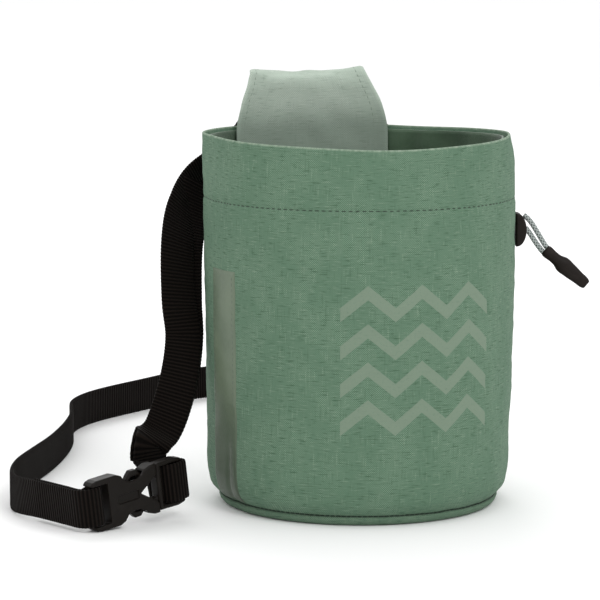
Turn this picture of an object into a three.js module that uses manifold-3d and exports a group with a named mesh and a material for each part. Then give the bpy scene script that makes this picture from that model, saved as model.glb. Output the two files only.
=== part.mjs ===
// Climbing chalk bag with its belt, in millimetres, +Z up.
// The origin is the centre of the flat base, and the bag's front faces -Y.
import * as THREE from "three";
import { mergeVertices } from "three/addons/utils/BufferGeometryUtils.js";
import Module from "manifold-3d";

// Bag
const BAG_RADIUS = 65.2;
const BAG_HEIGHT = 155;
const WALL_THICKNESS = 1.4;
const HEM_DEPTH = 25.5;
const HEM_THICKENING = 0.5;
const HEM_SEAM_DEPTH = 0.45;
const MOUTH_FLATTENING = 4.5;
const BASE_THICKNESS = 2.2;
const BASE_RISE = 4;
const LINING_THICKNESS = 1;
const LINING_DROP = 1.6;
const CLOTH_GAP = 0.35;

// Belt loop
const LOOP_AT = 92;
const LOOP_WIDTH = 66;
const LOOP_RISE = 24.5;
const LOOP_THICKNESS = 1.1;
const LOOP_DIP = 1.8;
const FOLD_ROOM = 1.8;

// Belt
const WEB_WIDTH = 16;
const WEB_THICKNESS = 1.5;
const WEB_GAP = 0.45;
const FLOOR_GAP = 0.35;
const LYING_REACH = 197;
const TAIL_SPACING = 2.4;

// Side-release buckle, lying on its long edge
const BUCKLE_WIDTH = 21.4;
const BUCKLE_THICKNESS = 6.4;
const BUCKLE_WALL_GAP = 18.8;
const BUCKLE_AT = 188.2;
const BUCKLE_TURN = 20;
const BUCKLE_TILT = 7.5;
const SOCKET_LENGTH = 33;
const SOCKET_SHELL = 1.3;
const PLUG_BASE_LENGTH = 14;
const PLUG_ARM_LENGTH = 16;
const PLUG_ARM_WIDTH = 2.6;
const WEB_BAR = 2.4;
const MOULDED_GAP = 0.3;

// Drawcord
const CORD_DIAMETER = 2.2;
const PORT_AT = 341.5;
const PORT_HEIGHT = 14;
const PORT_DEPTH = 4.6;
const PORT_WIDTH = 9;
const PORT_CENTRE_UP = 115;
const CORD_END_LENGTH = 23;
const CORD_END_WIDTH = 6.8;
const CORD_END_THICKNESS = 4.8;

// The wall's outside from the base seam to the rim: height as a share of BAG_HEIGHT, radius of BAG_RADIUS.
const WALL_PROFILE = [
  { up: 0.028, out: 0.91 },
  { up: 0.05, out: 0.956 },
  { up: 0.085, out: 0.981 },
  { up: 0.16, out: 0.988 },
  { up: 0.28, out: 0.99 },
  { up: 0.42, out: 0.994 },
  { up: 0.56, out: 1 },
  { up: 0.7, out: 1.003 },
  { up: 0.8, out: 1.001 },
  { up: 0.9, out: 0.998 },
  { up: 1, out: 0.997 },
];

// Soft dents and swells of the wall: place and spread by angle in degrees and height as a share of
// BAG_HEIGHT, depth as a share of BAG_RADIUS, inwards where it is negative.
const WALL_DENTS = [
  { at: 160, up: 1, wide: 9, tall: 0.22, deep: 0.016 },
  { at: 181, up: 1, wide: 13, tall: 0.25, deep: -0.02 },
  { at: 189, up: 0.1, wide: 5, tall: 0.12, deep: -0.014 },
  { at: 338, up: 0.12, wide: 26, tall: 0.2, deep: -0.018 },
  { at: 341, up: 1.02, wide: 18, tall: 0.06, deep: -0.04 },
  { at: 300, up: 0.45, wide: 40, tall: 0.25, deep: 0.006 },
  { at: 235, up: 0.62, wide: 14, tall: 0.2, deep: -0.006 },
  { at: 20, up: 0.45, wide: 22, tall: 0.25, deep: -0.012 },
  { at: 118, up: 0.35, wide: 18, tall: 0.2, deep: -0.012 },
];

// How far the rim stands over or under BAG_HEIGHT, as a share of it.
const RIM_WAVES = [
  { at: 160, wide: 40, rise: 0.009 },
  { at: 262, wide: 28, rise: -0.008 },
  { at: 335, wide: 22, rise: 0.008 },
  { at: 45, wide: 25, rise: -0.005 },
  { at: 92, wide: 30, rise: 0.005 },
];

// Folds of the lining, inwards, in the same terms; lean is how far a fold drifts, in degrees, from its
// middle to the height of the rim.
const LINING_FOLDS = [
  { at: 38, up: 0.82, wide: 5, tall: 0.3, deep: 0.045, lean: 6 },
  { at: 52, up: 0.9, wide: 4.5, tall: 0.2, deep: 0.03, lean: 8 },
  { at: 16, up: 0.6, wide: 8, tall: 0.3, deep: 0.05, lean: -5 },
  { at: 325, up: 0.55, wide: 9, tall: 0.25, deep: 0.045, lean: 7 },
  { at: 283, up: 0.5, wide: 8, tall: 0.28, deep: 0.055, lean: -8 },
  { at: 240, up: 0.6, wide: 9, tall: 0.25, deep: 0.04, lean: 6 },
  { at: 203, up: 0.5, wide: 7, tall: 0.3, deep: 0.05, lean: -4 },
  { at: 160, up: 0.65, wide: 8, tall: 0.25, deep: 0.045, lean: 5 },
  { at: 128, up: 0.5, wide: 7, tall: 0.25, deep: 0.05, lean: -6 },
  { at: 84, up: 0.35, wide: 9, tall: 0.2, deep: 0.05, lean: 4 },
];

// The belt loop from its inner end over the fold to its outer end. lane 0 is inside the lining, 1 is
// outside over the belt and 2 is outside on the wall; rise is a share of LOOP_RISE above the rim, half and
// shift are shares of LOOP_WIDTH, and dip is one of LOOP_DIP, by which its corners stand over the middle.
const LOOP_PATH = [
  { lane: 0, rise: -1.15, half: 0.505, shift: -0.02, dip: 0 },
  { lane: 0, rise: -0.45, half: 0.505, shift: -0.02, dip: 0 },
  { lane: 0, rise: 0, half: 0.5, shift: -0.02, dip: 0 },
  { lane: 0, rise: 0.39, half: 0.468, shift: -0.018, dip: 0.2 },
  { lane: 0, rise: 0.7, half: 0.42, shift: -0.014, dip: 0.5 },
  { lane: 0.08, rise: 0.88, half: 0.398, shift: -0.012, dip: 0.8 },
  { lane: 0.25, rise: 0.97, half: 0.388, shift: -0.008, dip: 1 },
  { lane: 0.5, rise: 1, half: 0.38, shift: 0.004, dip: 1 },
  { lane: 0.78, rise: 0.97, half: 0.372, shift: 0.018, dip: 1 },
  { lane: 0.95, rise: 0.88, half: 0.368, shift: 0.018, dip: 0.8 },
  { lane: 1, rise: 0.6, half: 0.392, shift: 0.022, dip: 0.4 },
  { lane: 1, rise: 0.1, half: 0.43, shift: 0.028, dip: 0.1 },
  { lane: 1, rise: -0.85, half: 0.45, shift: 0.028, dip: 0 },
  { lane: 1.3, rise: -1.1, half: 0.455, shift: 0.022, dip: 0 },
  { lane: 2, rise: -1.35, half: 0.46, shift: 0.018, dip: 0 },
  { lane: 2, rise: -1.65, half: 0.46, shift: 0.018, dip: 0 },
];

// The belt's lying run, on its edge: angle round the bag, and distance from the wall as a share of
// LYING_REACH.
const LYING_RUN = [
  { at: 171.6, out: 0.418 },
  { at: 160, out: 0.41 },
  { at: 148, out: 0.401 },
  { at: 137.6, out: 0.416 },
  { at: 125.4, out: 0.483 },
  { at: 116.8, out: 0.581 },
  { at: 111.6, out: 0.687 },
  { at: 106, out: 0.765 },
  { at: 95.8, out: 0.87 },
  { at: 86.1, out: 1 },
  { at: 80.7, out: 0.984 },
  { at: 75.5, out: 0.886 },
  { at: 71.5, out: 0.738 },
  { at: 68.5, out: 0.585 },
];

// The belt's rise behind the bag: distance as above, height as a share of BAG_HEIGHT, and the direction in
// which the webbing's width points, round the axis and above the horizon.
const RISING_RUN = [
  { at: 66, out: 0.43, up: 0.056, turn: 20, tilt: 62 },
  { at: 62, out: 0.29, up: 0.085, turn: 2, tilt: 30 },
  { at: 57.5, out: 0.185, up: 0.19, turn: -15, tilt: 6 },
  { at: 51, out: 0.115, up: 0.37, turn: -32, tilt: 0 },
  { at: 45, out: 0.078, up: 0.57, turn: -42, tilt: 2 },
  { at: 44, out: 0.062, up: 0.735, turn: -44, tilt: 8 },
  { at: 52, out: 0.052, up: 0.868, turn: -38, tilt: 28 },
];

// The belt's arch through the loop: angle off the loop's middle, and fall as a share of LOOP_RISE.
const ARCH = [
  { off: -31, fall: 0.82, tilt: 55 },
  { off: -22, fall: 0.46, tilt: 68 },
  { off: -12, fall: 0.14, tilt: 80 },
  { off: 0, fall: 0, tilt: 90 },
  { off: 12, fall: 0.14, tilt: 80 },
  { off: 22, fall: 0.46, tilt: 68 },
  { off: 31, fall: 0.82, tilt: 55 },
];

// The belt's hanging run: distance as a share of BUCKLE_WALL_GAP from the wall to the webbing's edge.
const HANGING_RUN = [
  { at: 131, out: 0.16, up: 0.877, turn: 210, tilt: 35 },
  { at: 146.4, out: 0.19, up: 0.797, turn: 205, tilt: 18 },
  { at: 157.7, out: 0.19, up: 0.705, turn: 195, tilt: 8 },
  { at: 166.6, out: 0.165, up: 0.548, turn: 190, tilt: 2 },
  { at: 170.1, out: 0.1, up: 0.456, turn: 184, tilt: 2 },
  { at: 174.5, out: 0.3, up: 0.335, turn: 174, tilt: 8 },
  { at: 177.4, out: 0.7, up: 0.22, turn: 168, tilt: 14 },
];

// The free tail, from behind the buckle up behind the hanging run, in the same terms.
const TAIL_RUN = [
  { at: 175.6, out: 0.64, up: 0.22, turn: 168, tilt: 14 },
  { at: 172.4, out: 0.24, up: 0.335, turn: 172, tilt: 8 },
  { at: 167.8, out: 0.05, up: 0.456, turn: 174, tilt: 2 },
  { at: 163.2, out: 0.06, up: 0.548, turn: 165, tilt: 0 },
  { at: 153.2, out: 0.065, up: 0.705, turn: 168, tilt: 4 },
  { at: 142.7, out: 0.03, up: 0.797, turn: 182, tilt: 10 },
  { at: 137.2, out: 0.03, up: 0.85, turn: 190, tilt: 16 },
];

// How the belt leaves the socket, in the buckle's frame, as shares of WEB_WIDTH.
const LEAD = [
  { x: -0.1, y: -0.12 },
  { x: -0.25, y: 0.08 },
  { x: -0.28, y: 0.7 },
  { x: -0.29, y: 1.35 },
  { x: -0.3, y: 2 },
];

const MOUTH_LONG_AXIS = 160;
const ROUND_STEPS = 60;
const UP = new THREE.Vector3(0, 0, 1);

const wasm = await Module();
wasm.setup();

// Small helpers
const radians = THREE.MathUtils.degToRad;
const lerp = THREE.MathUtils.lerp;

function polar(radius, angle, z) {
  const a = radians(angle);
  return new THREE.Vector3(radius * Math.cos(a), radius * Math.sin(a), z);
}

function direction(turn, tilt) {
  return polar(Math.cos(radians(tilt)), turn, Math.sin(radians(tilt)));
}

// The value of one column of a table at a place along another, eased between rows.
function column(table, key, by, at) {
  if (at <= table[0][by]) return table[0][key];
  for (let i = 1; i < table.length; i += 1) {
    const [low, high] = [table[i - 1], table[i]];
    if (at <= high[by]) return lerp(low[key], high[key], (at - low[by]) / (high[by] - low[by]));
  }
  return table[table.length - 1][key];
}

function bump(distance, spread) {
  return Math.exp(-((distance / spread) ** 2));
}

function turnBetween(a, b) {
  return ((a - b + 540) % 360) - 180;
}

function folded(table, angle, up) {
  let sum = 0;
  for (const fold of table) {
    const drift = (fold.lean ?? 0) * (up - fold.up);
    const across = turnBetween(angle, fold.at + drift);
    sum += fold.deep * BAG_RADIUS * bump(across, fold.wide) * bump(up - fold.up, fold.tall);
  }
  return sum;
}

// Solids from rings of points
function solidGeometry(points, faces) {
  const geometry = new THREE.BufferGeometry();
  const positions = points.flatMap((p) => [p.x, p.y, p.z]);
  geometry.setAttribute("position", new THREE.Float32BufferAttribute(positions, 3));
  geometry.setIndex(faces.flat());
  if (signedVolume(points, faces) < 0) geometry.setIndex(faces.map(([a, b, c]) => [a, c, b]).flat());
  return geometry;
}

function signedVolume(points, faces) {
  const cross = new THREE.Vector3();
  return faces.reduce((sum, [a, b, c]) => sum + points[a].dot(cross.crossVectors(points[b], points[c])), 0);
}

function ringFaces(ringCount, size, closed) {
  const faces = [];
  const last = closed ? ringCount : ringCount - 1;
  for (let i = 0; i < last; i += 1) {
    for (let j = 0; j < size; j += 1) {
      const [row, next] = [i * size, ((i + 1) % ringCount) * size];
      const beside = (j + 1) % size;
      faces.push([row + j, row + beside, next + beside], [row + j, next + beside, next + j]);
    }
  }
  return faces;
}

// Rings that close on themselves, as in a wall with an inside and an outside.
function closedRings(rings) {
  return solidGeometry(rings.flat(), ringFaces(rings.length, rings[0].length, true));
}

// Rings between two points, as in a disc or a bag with a bottom.
function cappedRings(rings, first, last) {
  const size = rings[0].length;
  const points = [...rings.flat(), first, last];
  const faces = ringFaces(rings.length, size, false);
  const [start, end] = [points.length - 2, points.length - 1];
  const top = (rings.length - 1) * size;
  for (let j = 0; j < size; j += 1) {
    const beside = (j + 1) % size;
    faces.push([start, beside, j], [end, top + j, top + beside]);
  }
  return solidGeometry(points, faces);
}

// Flat sections, each a list of points across one face and back across the other.
function sheetRings(rings) {
  const size = rings[0].length;
  const faces = ringFaces(rings.length, size, false);
  const top = (rings.length - 1) * size;
  for (let j = 0; j < size / 2 - 1; j += 1) {
    const [a, b, c, d] = [j, j + 1, size - 2 - j, size - 1 - j];
    faces.push([a, c, b], [a, d, c]);
    faces.push([top + a, top + b, top + c], [top + a, top + c, top + d]);
  }
  return solidGeometry(rings.flat(), faces);
}

function roundRing(radiusAt, heightAt) {
  const ring = [];
  for (let i = 0; i < ROUND_STEPS; i += 1) {
    const angle = (360 * i) / ROUND_STEPS;
    ring.push(polar(radiusAt(angle), angle, heightAt(angle)));
  }
  return ring;
}

// The bag's wall
function rimHeight(angle) {
  const waves = RIM_WAVES.map((wave) => wave.rise * bump(turnBetween(angle, wave.at), wave.wide));
  return BAG_HEIGHT * (1 + waves.reduce((sum, wave) => sum + wave, 0));
}

function wallRadius(angle, up) {
  const across = Math.sin(radians(angle - MOUTH_LONG_AXIS)) ** 2;
  const flattened = MOUTH_FLATTENING * across * up ** 4;
  const round = BAG_RADIUS * column(WALL_PROFILE, "out", "up", up);
  return round - flattened + folded(WALL_DENTS, angle, up);
}

const HEM_UP = 1 - HEM_DEPTH / BAG_HEIGHT;
const SEAM_SHARE = 0.012;

function shellInnerRadius(angle, up) {
  const inHem = THREE.MathUtils.clamp((up - HEM_UP) / (2 * SEAM_SHARE) + 0.5, 0, 1);
  return wallRadius(angle, up) - WALL_THICKNESS - inHem * HEM_THICKENING;
}

// The heights of the wall's rings, with three at the hem's seam.
function wallUps() {
  const ups = WALL_PROFILE.map((row) => row.up);
  const below = ups.filter((up) => up < HEM_UP - 2 * SEAM_SHARE);
  const above = ups.filter((up) => up > HEM_UP + 2 * SEAM_SHARE);
  below[0] = (BASE_RISE + CLOTH_GAP) / BAG_HEIGHT;
  return [...below, HEM_UP - SEAM_SHARE, HEM_UP, HEM_UP + SEAM_SHARE, ...above];
}

function wallGeometry() {
  const heightOf = (up) => (up === 1 ? rimHeight : () => up * BAG_HEIGHT);
  const outside = wallUps().map((up) => {
    const dip = up === HEM_UP ? HEM_SEAM_DEPTH : 0;
    return roundRing((angle) => wallRadius(angle, up) - dip, heightOf(up));
  });
  const inside = wallUps().map((up) => roundRing((angle) => shellInnerRadius(angle, up), heightOf(up)));
  return closedRings([...outside, ...inside.reverse()]);
}

// The base
function baseGeometry() {
  const edge = BAG_RADIUS * WALL_PROFILE[0].out;
  const section = [
    { radius: edge - 0.85 * BASE_RISE, z: 0 },
    { radius: edge - 0.38 * BASE_RISE, z: 0.15 * BASE_RISE },
    { radius: edge - 0.12 * BASE_RISE, z: 0.5 * BASE_RISE },
    { radius: edge, z: BASE_RISE },
    { radius: edge - WALL_THICKNESS, z: BASE_RISE },
    { radius: edge - WALL_THICKNESS - 0.4 * BASE_RISE, z: BASE_THICKNESS },
  ];
  const rings = section.map((row) => roundRing(() => row.radius, () => row.z));
  return cappedRings(rings, new THREE.Vector3(0, 0, 0), new THREE.Vector3(0, 0, BASE_THICKNESS));
}

// The lining
function liningOuterRadius(angle, up) {
  return shellInnerRadius(angle, up) - CLOTH_GAP - Math.max(0, folded(LINING_FOLDS, angle, up));
}

function liningInnerRadius(angle, up) {
  return liningOuterRadius(angle, up) - LINING_THICKNESS;
}

function liningGeometry() {
  const floor = BASE_THICKNESS + CLOTH_GAP;
  const ups = wallUps().slice(1);
  const heightOf = (up) => (up === 1 ? (angle) => rimHeight(angle) - LINING_DROP : () => up * BAG_HEIGHT);
  const foot = BAG_RADIUS * WALL_PROFILE[0].out - 2 * WALL_THICKNESS - BASE_RISE;
  const outside = ups.map((up) => roundRing((angle) => liningOuterRadius(angle, up), heightOf(up)));
  const inside = ups.map((up) => roundRing((angle) => liningInnerRadius(angle, up), heightOf(up)));
  const under = roundRing(() => foot, () => floor);
  const over = roundRing(() => foot, () => floor + LINING_THICKNESS);
  const first = new THREE.Vector3(0, 0, floor);
  const last = new THREE.Vector3(0, 0, floor + LINING_THICKNESS);
  return cappedRings([under, ...outside, ...inside.reverse(), over], first, last);
}

// The belt loop
const NEAR_RIM = [HEM_UP - SEAM_SHARE, HEM_UP, 0.86, 0.9, 0.95, 1];

function widestNearRim(angle) {
  return Math.max(...NEAR_RIM.map((up) => wallRadius(angle, up)));
}

function narrowestNearRim(angle) {
  return Math.min(...NEAR_RIM.map((up) => liningInnerRadius(angle, up)));
}

function beltSeatRadius(angle) {
  return widestNearRim(angle) + WEB_GAP + WEB_THICKNESS / 2;
}

// The radius of the loop's face that looks at the bag, or at the belt.
function loopRadius(lane, angle, z) {
  const up = Math.min(1, z / BAG_HEIGHT);
  const inner = narrowestNearRim(angle) - CLOTH_GAP - LOOP_THICKNESS;
  const over = beltSeatRadius(angle) + WEB_THICKNESS / 2 + 3.5 * WEB_GAP;
  const onWall = wallRadius(angle, up) + CLOTH_GAP;
  return lane <= 1 ? lerp(inner, over, lane) : lerp(over, onWall, lane - 1);
}

function loopGeometry() {
  const columns = 14;
  const middle = LOOP_PATH.map((row) => loopPoint(row, 0));
  const rings = LOOP_PATH.map((row, i) => {
    const before = middle[Math.max(0, i - 1)];
    const after = middle[Math.min(middle.length - 1, i + 1)];
    const along = after.clone().sub(before).normalize();
    const [front, back] = [[], []];
    for (let j = 0; j <= columns; j += 1) {
      const side = (2 * j) / columns - 1;
      const point = loopPoint(row, side);
      const outward = new THREE.Vector3(0, along.z, -along.y).multiplyScalar(-LOOP_THICKNESS / 2);
      const angle = Math.atan2(point.x, point.y);
      outward.applyAxisAngle(UP, -angle);
      front.push(point.clone().add(outward));
      back.unshift(point.clone().sub(outward));
    }
    return [...front, ...back];
  });
  return sheetRings(rings);
}

function loopPoint(row, side) {
  const z = BAG_HEIGHT + row.rise * LOOP_RISE - (1 - side ** 2) * row.dip * LOOP_DIP;
  const across = (side * row.half + row.shift) * LOOP_WIDTH;
  const middle = loopRadius(row.lane, LOOP_AT, z) + LOOP_THICKNESS / 2;
  const angle = LOOP_AT - THREE.MathUtils.radToDeg(Math.asin(across / middle));
  return polar(loopRadius(row.lane, angle, z) + LOOP_THICKNESS / 2, angle, z);
}

// The buckle's own frame: x along it from the socket's web end, y through it, z across its width.
function buckleFrame() {
  const length = SOCKET_LENGTH + MOULDED_GAP + PLUG_BASE_LENGTH;
  const rest = BUCKLE_WIDTH / 2 - 0.1 * SOCKET_LENGTH * Math.sin(radians(BUCKLE_TILT));
  const tilted = length * Math.cos(radians(BUCKLE_TILT));
  const start = polar(BAG_RADIUS + BUCKLE_WALL_GAP, BUCKLE_AT, rest).sub(polar(tilted, BUCKLE_TURN, 0));
  const turned = new THREE.Matrix4().makeRotationZ(radians(BUCKLE_TURN));
  const raised = new THREE.Matrix4().makeRotationY(-radians(BUCKLE_TILT));
  return new THREE.Matrix4().makeTranslation(start).multiply(turned).multiply(raised);
}

const BUCKLE = buckleFrame();

// A station in the buckle's frame, with the webbing's width at an angle in its face.
function buckleStation(x, y, z, lean) {
  const at = new THREE.Vector3(x, y, z).applyMatrix4(BUCKLE);
  return { at, wide: direction(180, lean).transformDirection(BUCKLE) };
}

// The belt
const WRAP_RADIUS = WEB_BAR / 2 + WEB_GAP + WEB_THICKNESS / 2 + 0.4;
const LAYER = WEB_THICKNESS + WEB_GAP;
const PLUG_START = SOCKET_LENGTH + MOULDED_GAP;
const PLUG_END = PLUG_START + PLUG_BASE_LENGTH;

// Points of a flat path moved sideways, to its right.
function beside(path, distance) {
  return path.map(([x, y], i) => {
    const [fromX, fromY] = path[Math.max(0, i - 1)];
    const [toX, toY] = path[Math.min(path.length - 1, i + 1)];
    const length = Math.hypot(toX - fromX, toY - fromY);
    return [x + ((toY - fromY) / length) * distance, y - ((toX - fromX) / length) * distance];
  });
}

// The sewn end lies behind the lead, goes round the socket's bar and comes out in front as the lead.
function socketWrap() {
  const lead = LEAD.map((row) => [row.x * WEB_WIDTH, row.y * WEB_WIDTH]);
  const middle = WEB_BAR - WRAP_RADIUS / 3;
  const round = [
    [middle, WRAP_RADIUS],
    [middle + 0.72 * WRAP_RADIUS, 0.72 * WRAP_RADIUS],
    [middle + WRAP_RADIUS, 0],
    [middle + 0.72 * WRAP_RADIUS, -0.72 * WRAP_RADIUS],
    [middle, -WRAP_RADIUS],
  ];
  const sewn = beside(lead.slice(1), LAYER).reverse();
  return [...sewn, ...round, ...lead].map(([x, y]) => buckleStation(x, y, 0, 90));
}

function lyingRun() {
  return LYING_RUN.map((row) => ({
    at: polar(BAG_RADIUS + row.out * LYING_REACH, row.at, WEB_WIDTH / 2 + FLOOR_GAP),
    wide: UP.clone(),
  }));
}

function risingRun() {
  return RISING_RUN.map((row) => {
    const lying = WEB_WIDTH / 2 + FLOOR_GAP;
    const z = Math.max(lying, row.up * BAG_HEIGHT);
    const at = polar(BAG_RADIUS + row.out * LYING_REACH, row.at, z);
    return { at, wide: direction(row.turn, row.tilt) };
  });
}

function archRun() {
  const peak = BAG_HEIGHT + LOOP_RISE - LOOP_DIP - LOOP_THICKNESS - FOLD_ROOM - WEB_WIDTH / 2;
  return ARCH.map((row) => {
    const angle = LOOP_AT + row.off;
    const at = polar(beltSeatRadius(angle), angle, peak - row.fall * LOOP_RISE);
    const turn = row.off > 0 ? angle + 90 : angle - 90;
    return { at, wide: direction(turn, row.tilt) };
  });
}

function hangingRun(table) {
  return table.map((row) => {
    const radius = BAG_RADIUS + WEB_WIDTH / 2 + row.out * BUCKLE_WALL_GAP;
    return { at: polar(radius, row.at, row.up * BAG_HEIGHT), wide: direction(row.turn, row.tilt) };
  });
}

// The bend behind the buckle, as shares of WEB_WIDTH: how far along the plug and past its back it runs,
// and how high over its middle; lean turns the webbing's width upright.
const BEND = [
  { x: 0.62, y: 0.58, z: 0.86, lean: 8 },
  { x: 0.54, y: 0.62, z: 0.38, lean: 38 },
  { x: 0.34, y: 0.47, z: 0.08, lean: 74 },
];

function bendStations(behind) {
  const back = BUCKLE_THICKNESS / 2 + behind;
  return BEND.map((row) => {
    return buckleStation(PLUG_START + row.x * WEB_WIDTH, back + row.y * WEB_WIDTH, row.z * WEB_WIDTH, row.lean);
  });
}

// The hanging run bends down behind the buckle, comes through the plug, wraps its outer bar and goes
// back up as the free tail.
function plugWrap() {
  const back = BUCKLE_THICKNESS / 2 + WEB_THICKNESS;
  const middle = PLUG_END - WEB_BAR / 2;
  const round = [
    [PLUG_START + 2.2, back + 1.9],
    [PLUG_START + 4.6, 0],
    [PLUG_START + 7, -WRAP_RADIUS],
    [middle, -WRAP_RADIUS],
    [middle + 0.72 * WRAP_RADIUS, -0.72 * WRAP_RADIUS],
    [middle + WRAP_RADIUS, 0],
    [middle + 0.72 * WRAP_RADIUS, 0.72 * WRAP_RADIUS],
    [middle, WRAP_RADIUS],
    [PLUG_START + 5.5, back + TAIL_SPACING],
  ];
  return [
    ...bendStations(0),
    ...round.map(([x, y]) => buckleStation(x, y, 0, 90)),
    ...bendStations(TAIL_SPACING).reverse(),
  ];
}

// A ribbon through stations, with at least two steps between each two and none longer than the step.
function ribbonGeometry(stations, step) {
  const curve = new THREE.CatmullRomCurve3(stations.map((s) => s.at), false, "centripetal");
  const spans = stations.length - 1;
  const rings = [ribbonRing(curve, stations, 0, 0)];
  for (let span = 0; span < spans; span += 1) {
    const length = stations[span].at.distanceTo(stations[span + 1].at);
    const count = Math.max(2, Math.ceil(length / step));
    for (let i = 1; i <= count; i += 1) rings.push(ribbonRing(curve, stations, span, i / count));
  }
  return sheetRings(rings);
}

function ribbonRing(curve, stations, span, share) {
  const t = (span + share) / (stations.length - 1);
  const wide = stations[span].wide.clone().lerp(stations[span + 1].wide, share);
  const along = curve.getTangent(t);
  wide.addScaledVector(along, -wide.dot(along)).normalize();
  const thick = new THREE.Vector3().crossVectors(along, wide).multiplyScalar(WEB_THICKNESS / 2);
  wide.multiplyScalar(WEB_WIDTH / 2);
  const at = curve.getPoint(t);
  return [
    at.clone().sub(wide).sub(thick),
    at.clone().add(wide).sub(thick),
    at.clone().add(wide).add(thick),
    at.clone().sub(wide).add(thick),
  ];
}

function beltStations() {
  return [
    ...socketWrap(),
    ...lyingRun(),
    ...risingRun(),
    ...archRun(),
    ...hangingRun(HANGING_RUN),
    ...plugWrap(),
    ...hangingRun(TAIL_RUN),
  ];
}

// Joins and cuts
function solidOf(geometry) {
  const bare = geometry.clone();
  bare.deleteAttribute("normal");
  bare.deleteAttribute("uv");
  const merged = mergeVertices(bare, 1e-4);
  return new wasm.Manifold(
    new wasm.Mesh({
      numProp: 3,
      vertProperties: merged.attributes.position.array,
      triVerts: new Uint32Array(merged.index.array),
    }),
  );
}

function geometryOf(solid) {
  const mesh = solid.getMesh();
  const geometry = new THREE.BufferGeometry();
  geometry.setAttribute("position", new THREE.BufferAttribute(mesh.vertProperties, 3));
  geometry.setIndex(new THREE.BufferAttribute(mesh.triVerts, 1));
  return geometry;
}

// A flat plate: an outline in the buckle's x and z, thick along y and centred on it.
function plate(outline, thickness, bevel = 0) {
  const shape = new THREE.Shape(outline.map(([x, z]) => new THREE.Vector2(x, z)));
  const geometry = new THREE.ExtrudeGeometry(shape, {
    depth: thickness - 2 * bevel,
    bevelEnabled: bevel > 0,
    bevelThickness: bevel,
    bevelSize: bevel,
    bevelOffset: -bevel,
    bevelSegments: 1,
    curveSegments: 4,
  });
  geometry.translate(0, 0, bevel - thickness / 2);
  geometry.rotateX(Math.PI / 2);
  return solidOf(geometry);
}

function box(x, length, thickness, z, width) {
  const geometry = new THREE.BoxGeometry(length, thickness, width);
  geometry.translate(x + length / 2, 0, z);
  return solidOf(geometry);
}

function mirrored(half) {
  return [...half, ...half.map(([x, z]) => [x, -z]).reverse()];
}

// Half outlines: x as a share of the piece's length, z of half the buckle's width.
const SOCKET_OUTLINE = [
  { x: 0, z: 0.86 },
  { x: 0.03, z: 0.95 },
  { x: 0.09, z: 1 },
  { x: 0.38, z: 1 },
  { x: 0.44, z: 0.93 },
  { x: 0.52, z: 0.82 },
  { x: 0.78, z: 0.82 },
  { x: 0.84, z: 0.89 },
  { x: 0.92, z: 0.98 },
  { x: 1, z: 0.98 },
];
const PLUG_OUTLINE = [
  { x: 0, z: 0.93 },
  { x: 0.7, z: 0.95 },
  { x: 0.92, z: 0.88 },
  { x: 1, z: 0.76 },
];
const ARM_OUTLINE = [
  { x: 0, z: 0.6 },
  { x: 0.5, z: 0.7 },
  { x: 0.64, z: 0.93 },
  { x: 0.82, z: 0.93 },
  { x: 0.94, z: 0.74 },
  { x: 1, z: 0.62 },
];

function halfWidths(table, start, length) {
  return table.map((row) => [start + row.x * length, (row.z * BUCKLE_WIDTH) / 2]);
}

function socketGeometry() {
  const half = BUCKLE_WIDTH / 2;
  const length = SOCKET_LENGTH;
  const cavity = BUCKLE_THICKNESS - 2 * SOCKET_SHELL;
  const slot = WEB_BAR + WRAP_RADIUS * 2;
  const through = 2 * BUCKLE_THICKNESS;
  const outline = mirrored(halfWidths(SOCKET_OUTLINE, 0, length));
  const notch = [
    [0.73 * length, 0],
    [0.92 * length, 0.4 * half],
    [1.04 * length, 0.7 * half],
    [1.04 * length, -0.7 * half],
    [0.92 * length, -0.4 * half],
  ];
  const keyway = BUCKLE_THICKNESS - SOCKET_SHELL;
  let body = plate(outline, BUCKLE_THICKNESS, 0.5);
  body = body.subtract(box(WEB_BAR, slot - WEB_BAR, through, 0, WEB_WIDTH + 2 * WEB_GAP));
  body = body.subtract(box(-1, slot, through, 0, WEB_WIDTH + 2 * WEB_GAP).subtract(
    box(-2, slot + 2, WEB_BAR, 0, 2 * WEB_WIDTH),
  ));
  body = body.subtract(box(0.44 * length, length, cavity, 0, 1.52 * half));
  body = body.subtract(box(0.46 * length, 0.35 * length, cavity, 0, 4 * half));
  body = body.subtract(plate(notch, through));
  for (const side of [-1, 1]) {
    const recess = box(0.38 * length, 0.32 * length, SOCKET_SHELL, 0, 0.34 * half);
    body = body.subtract(recess.translate([0, (side * keyway) / 2 + side * 0.5, 0]));
  }
  return geometryOf(body);
}

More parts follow.
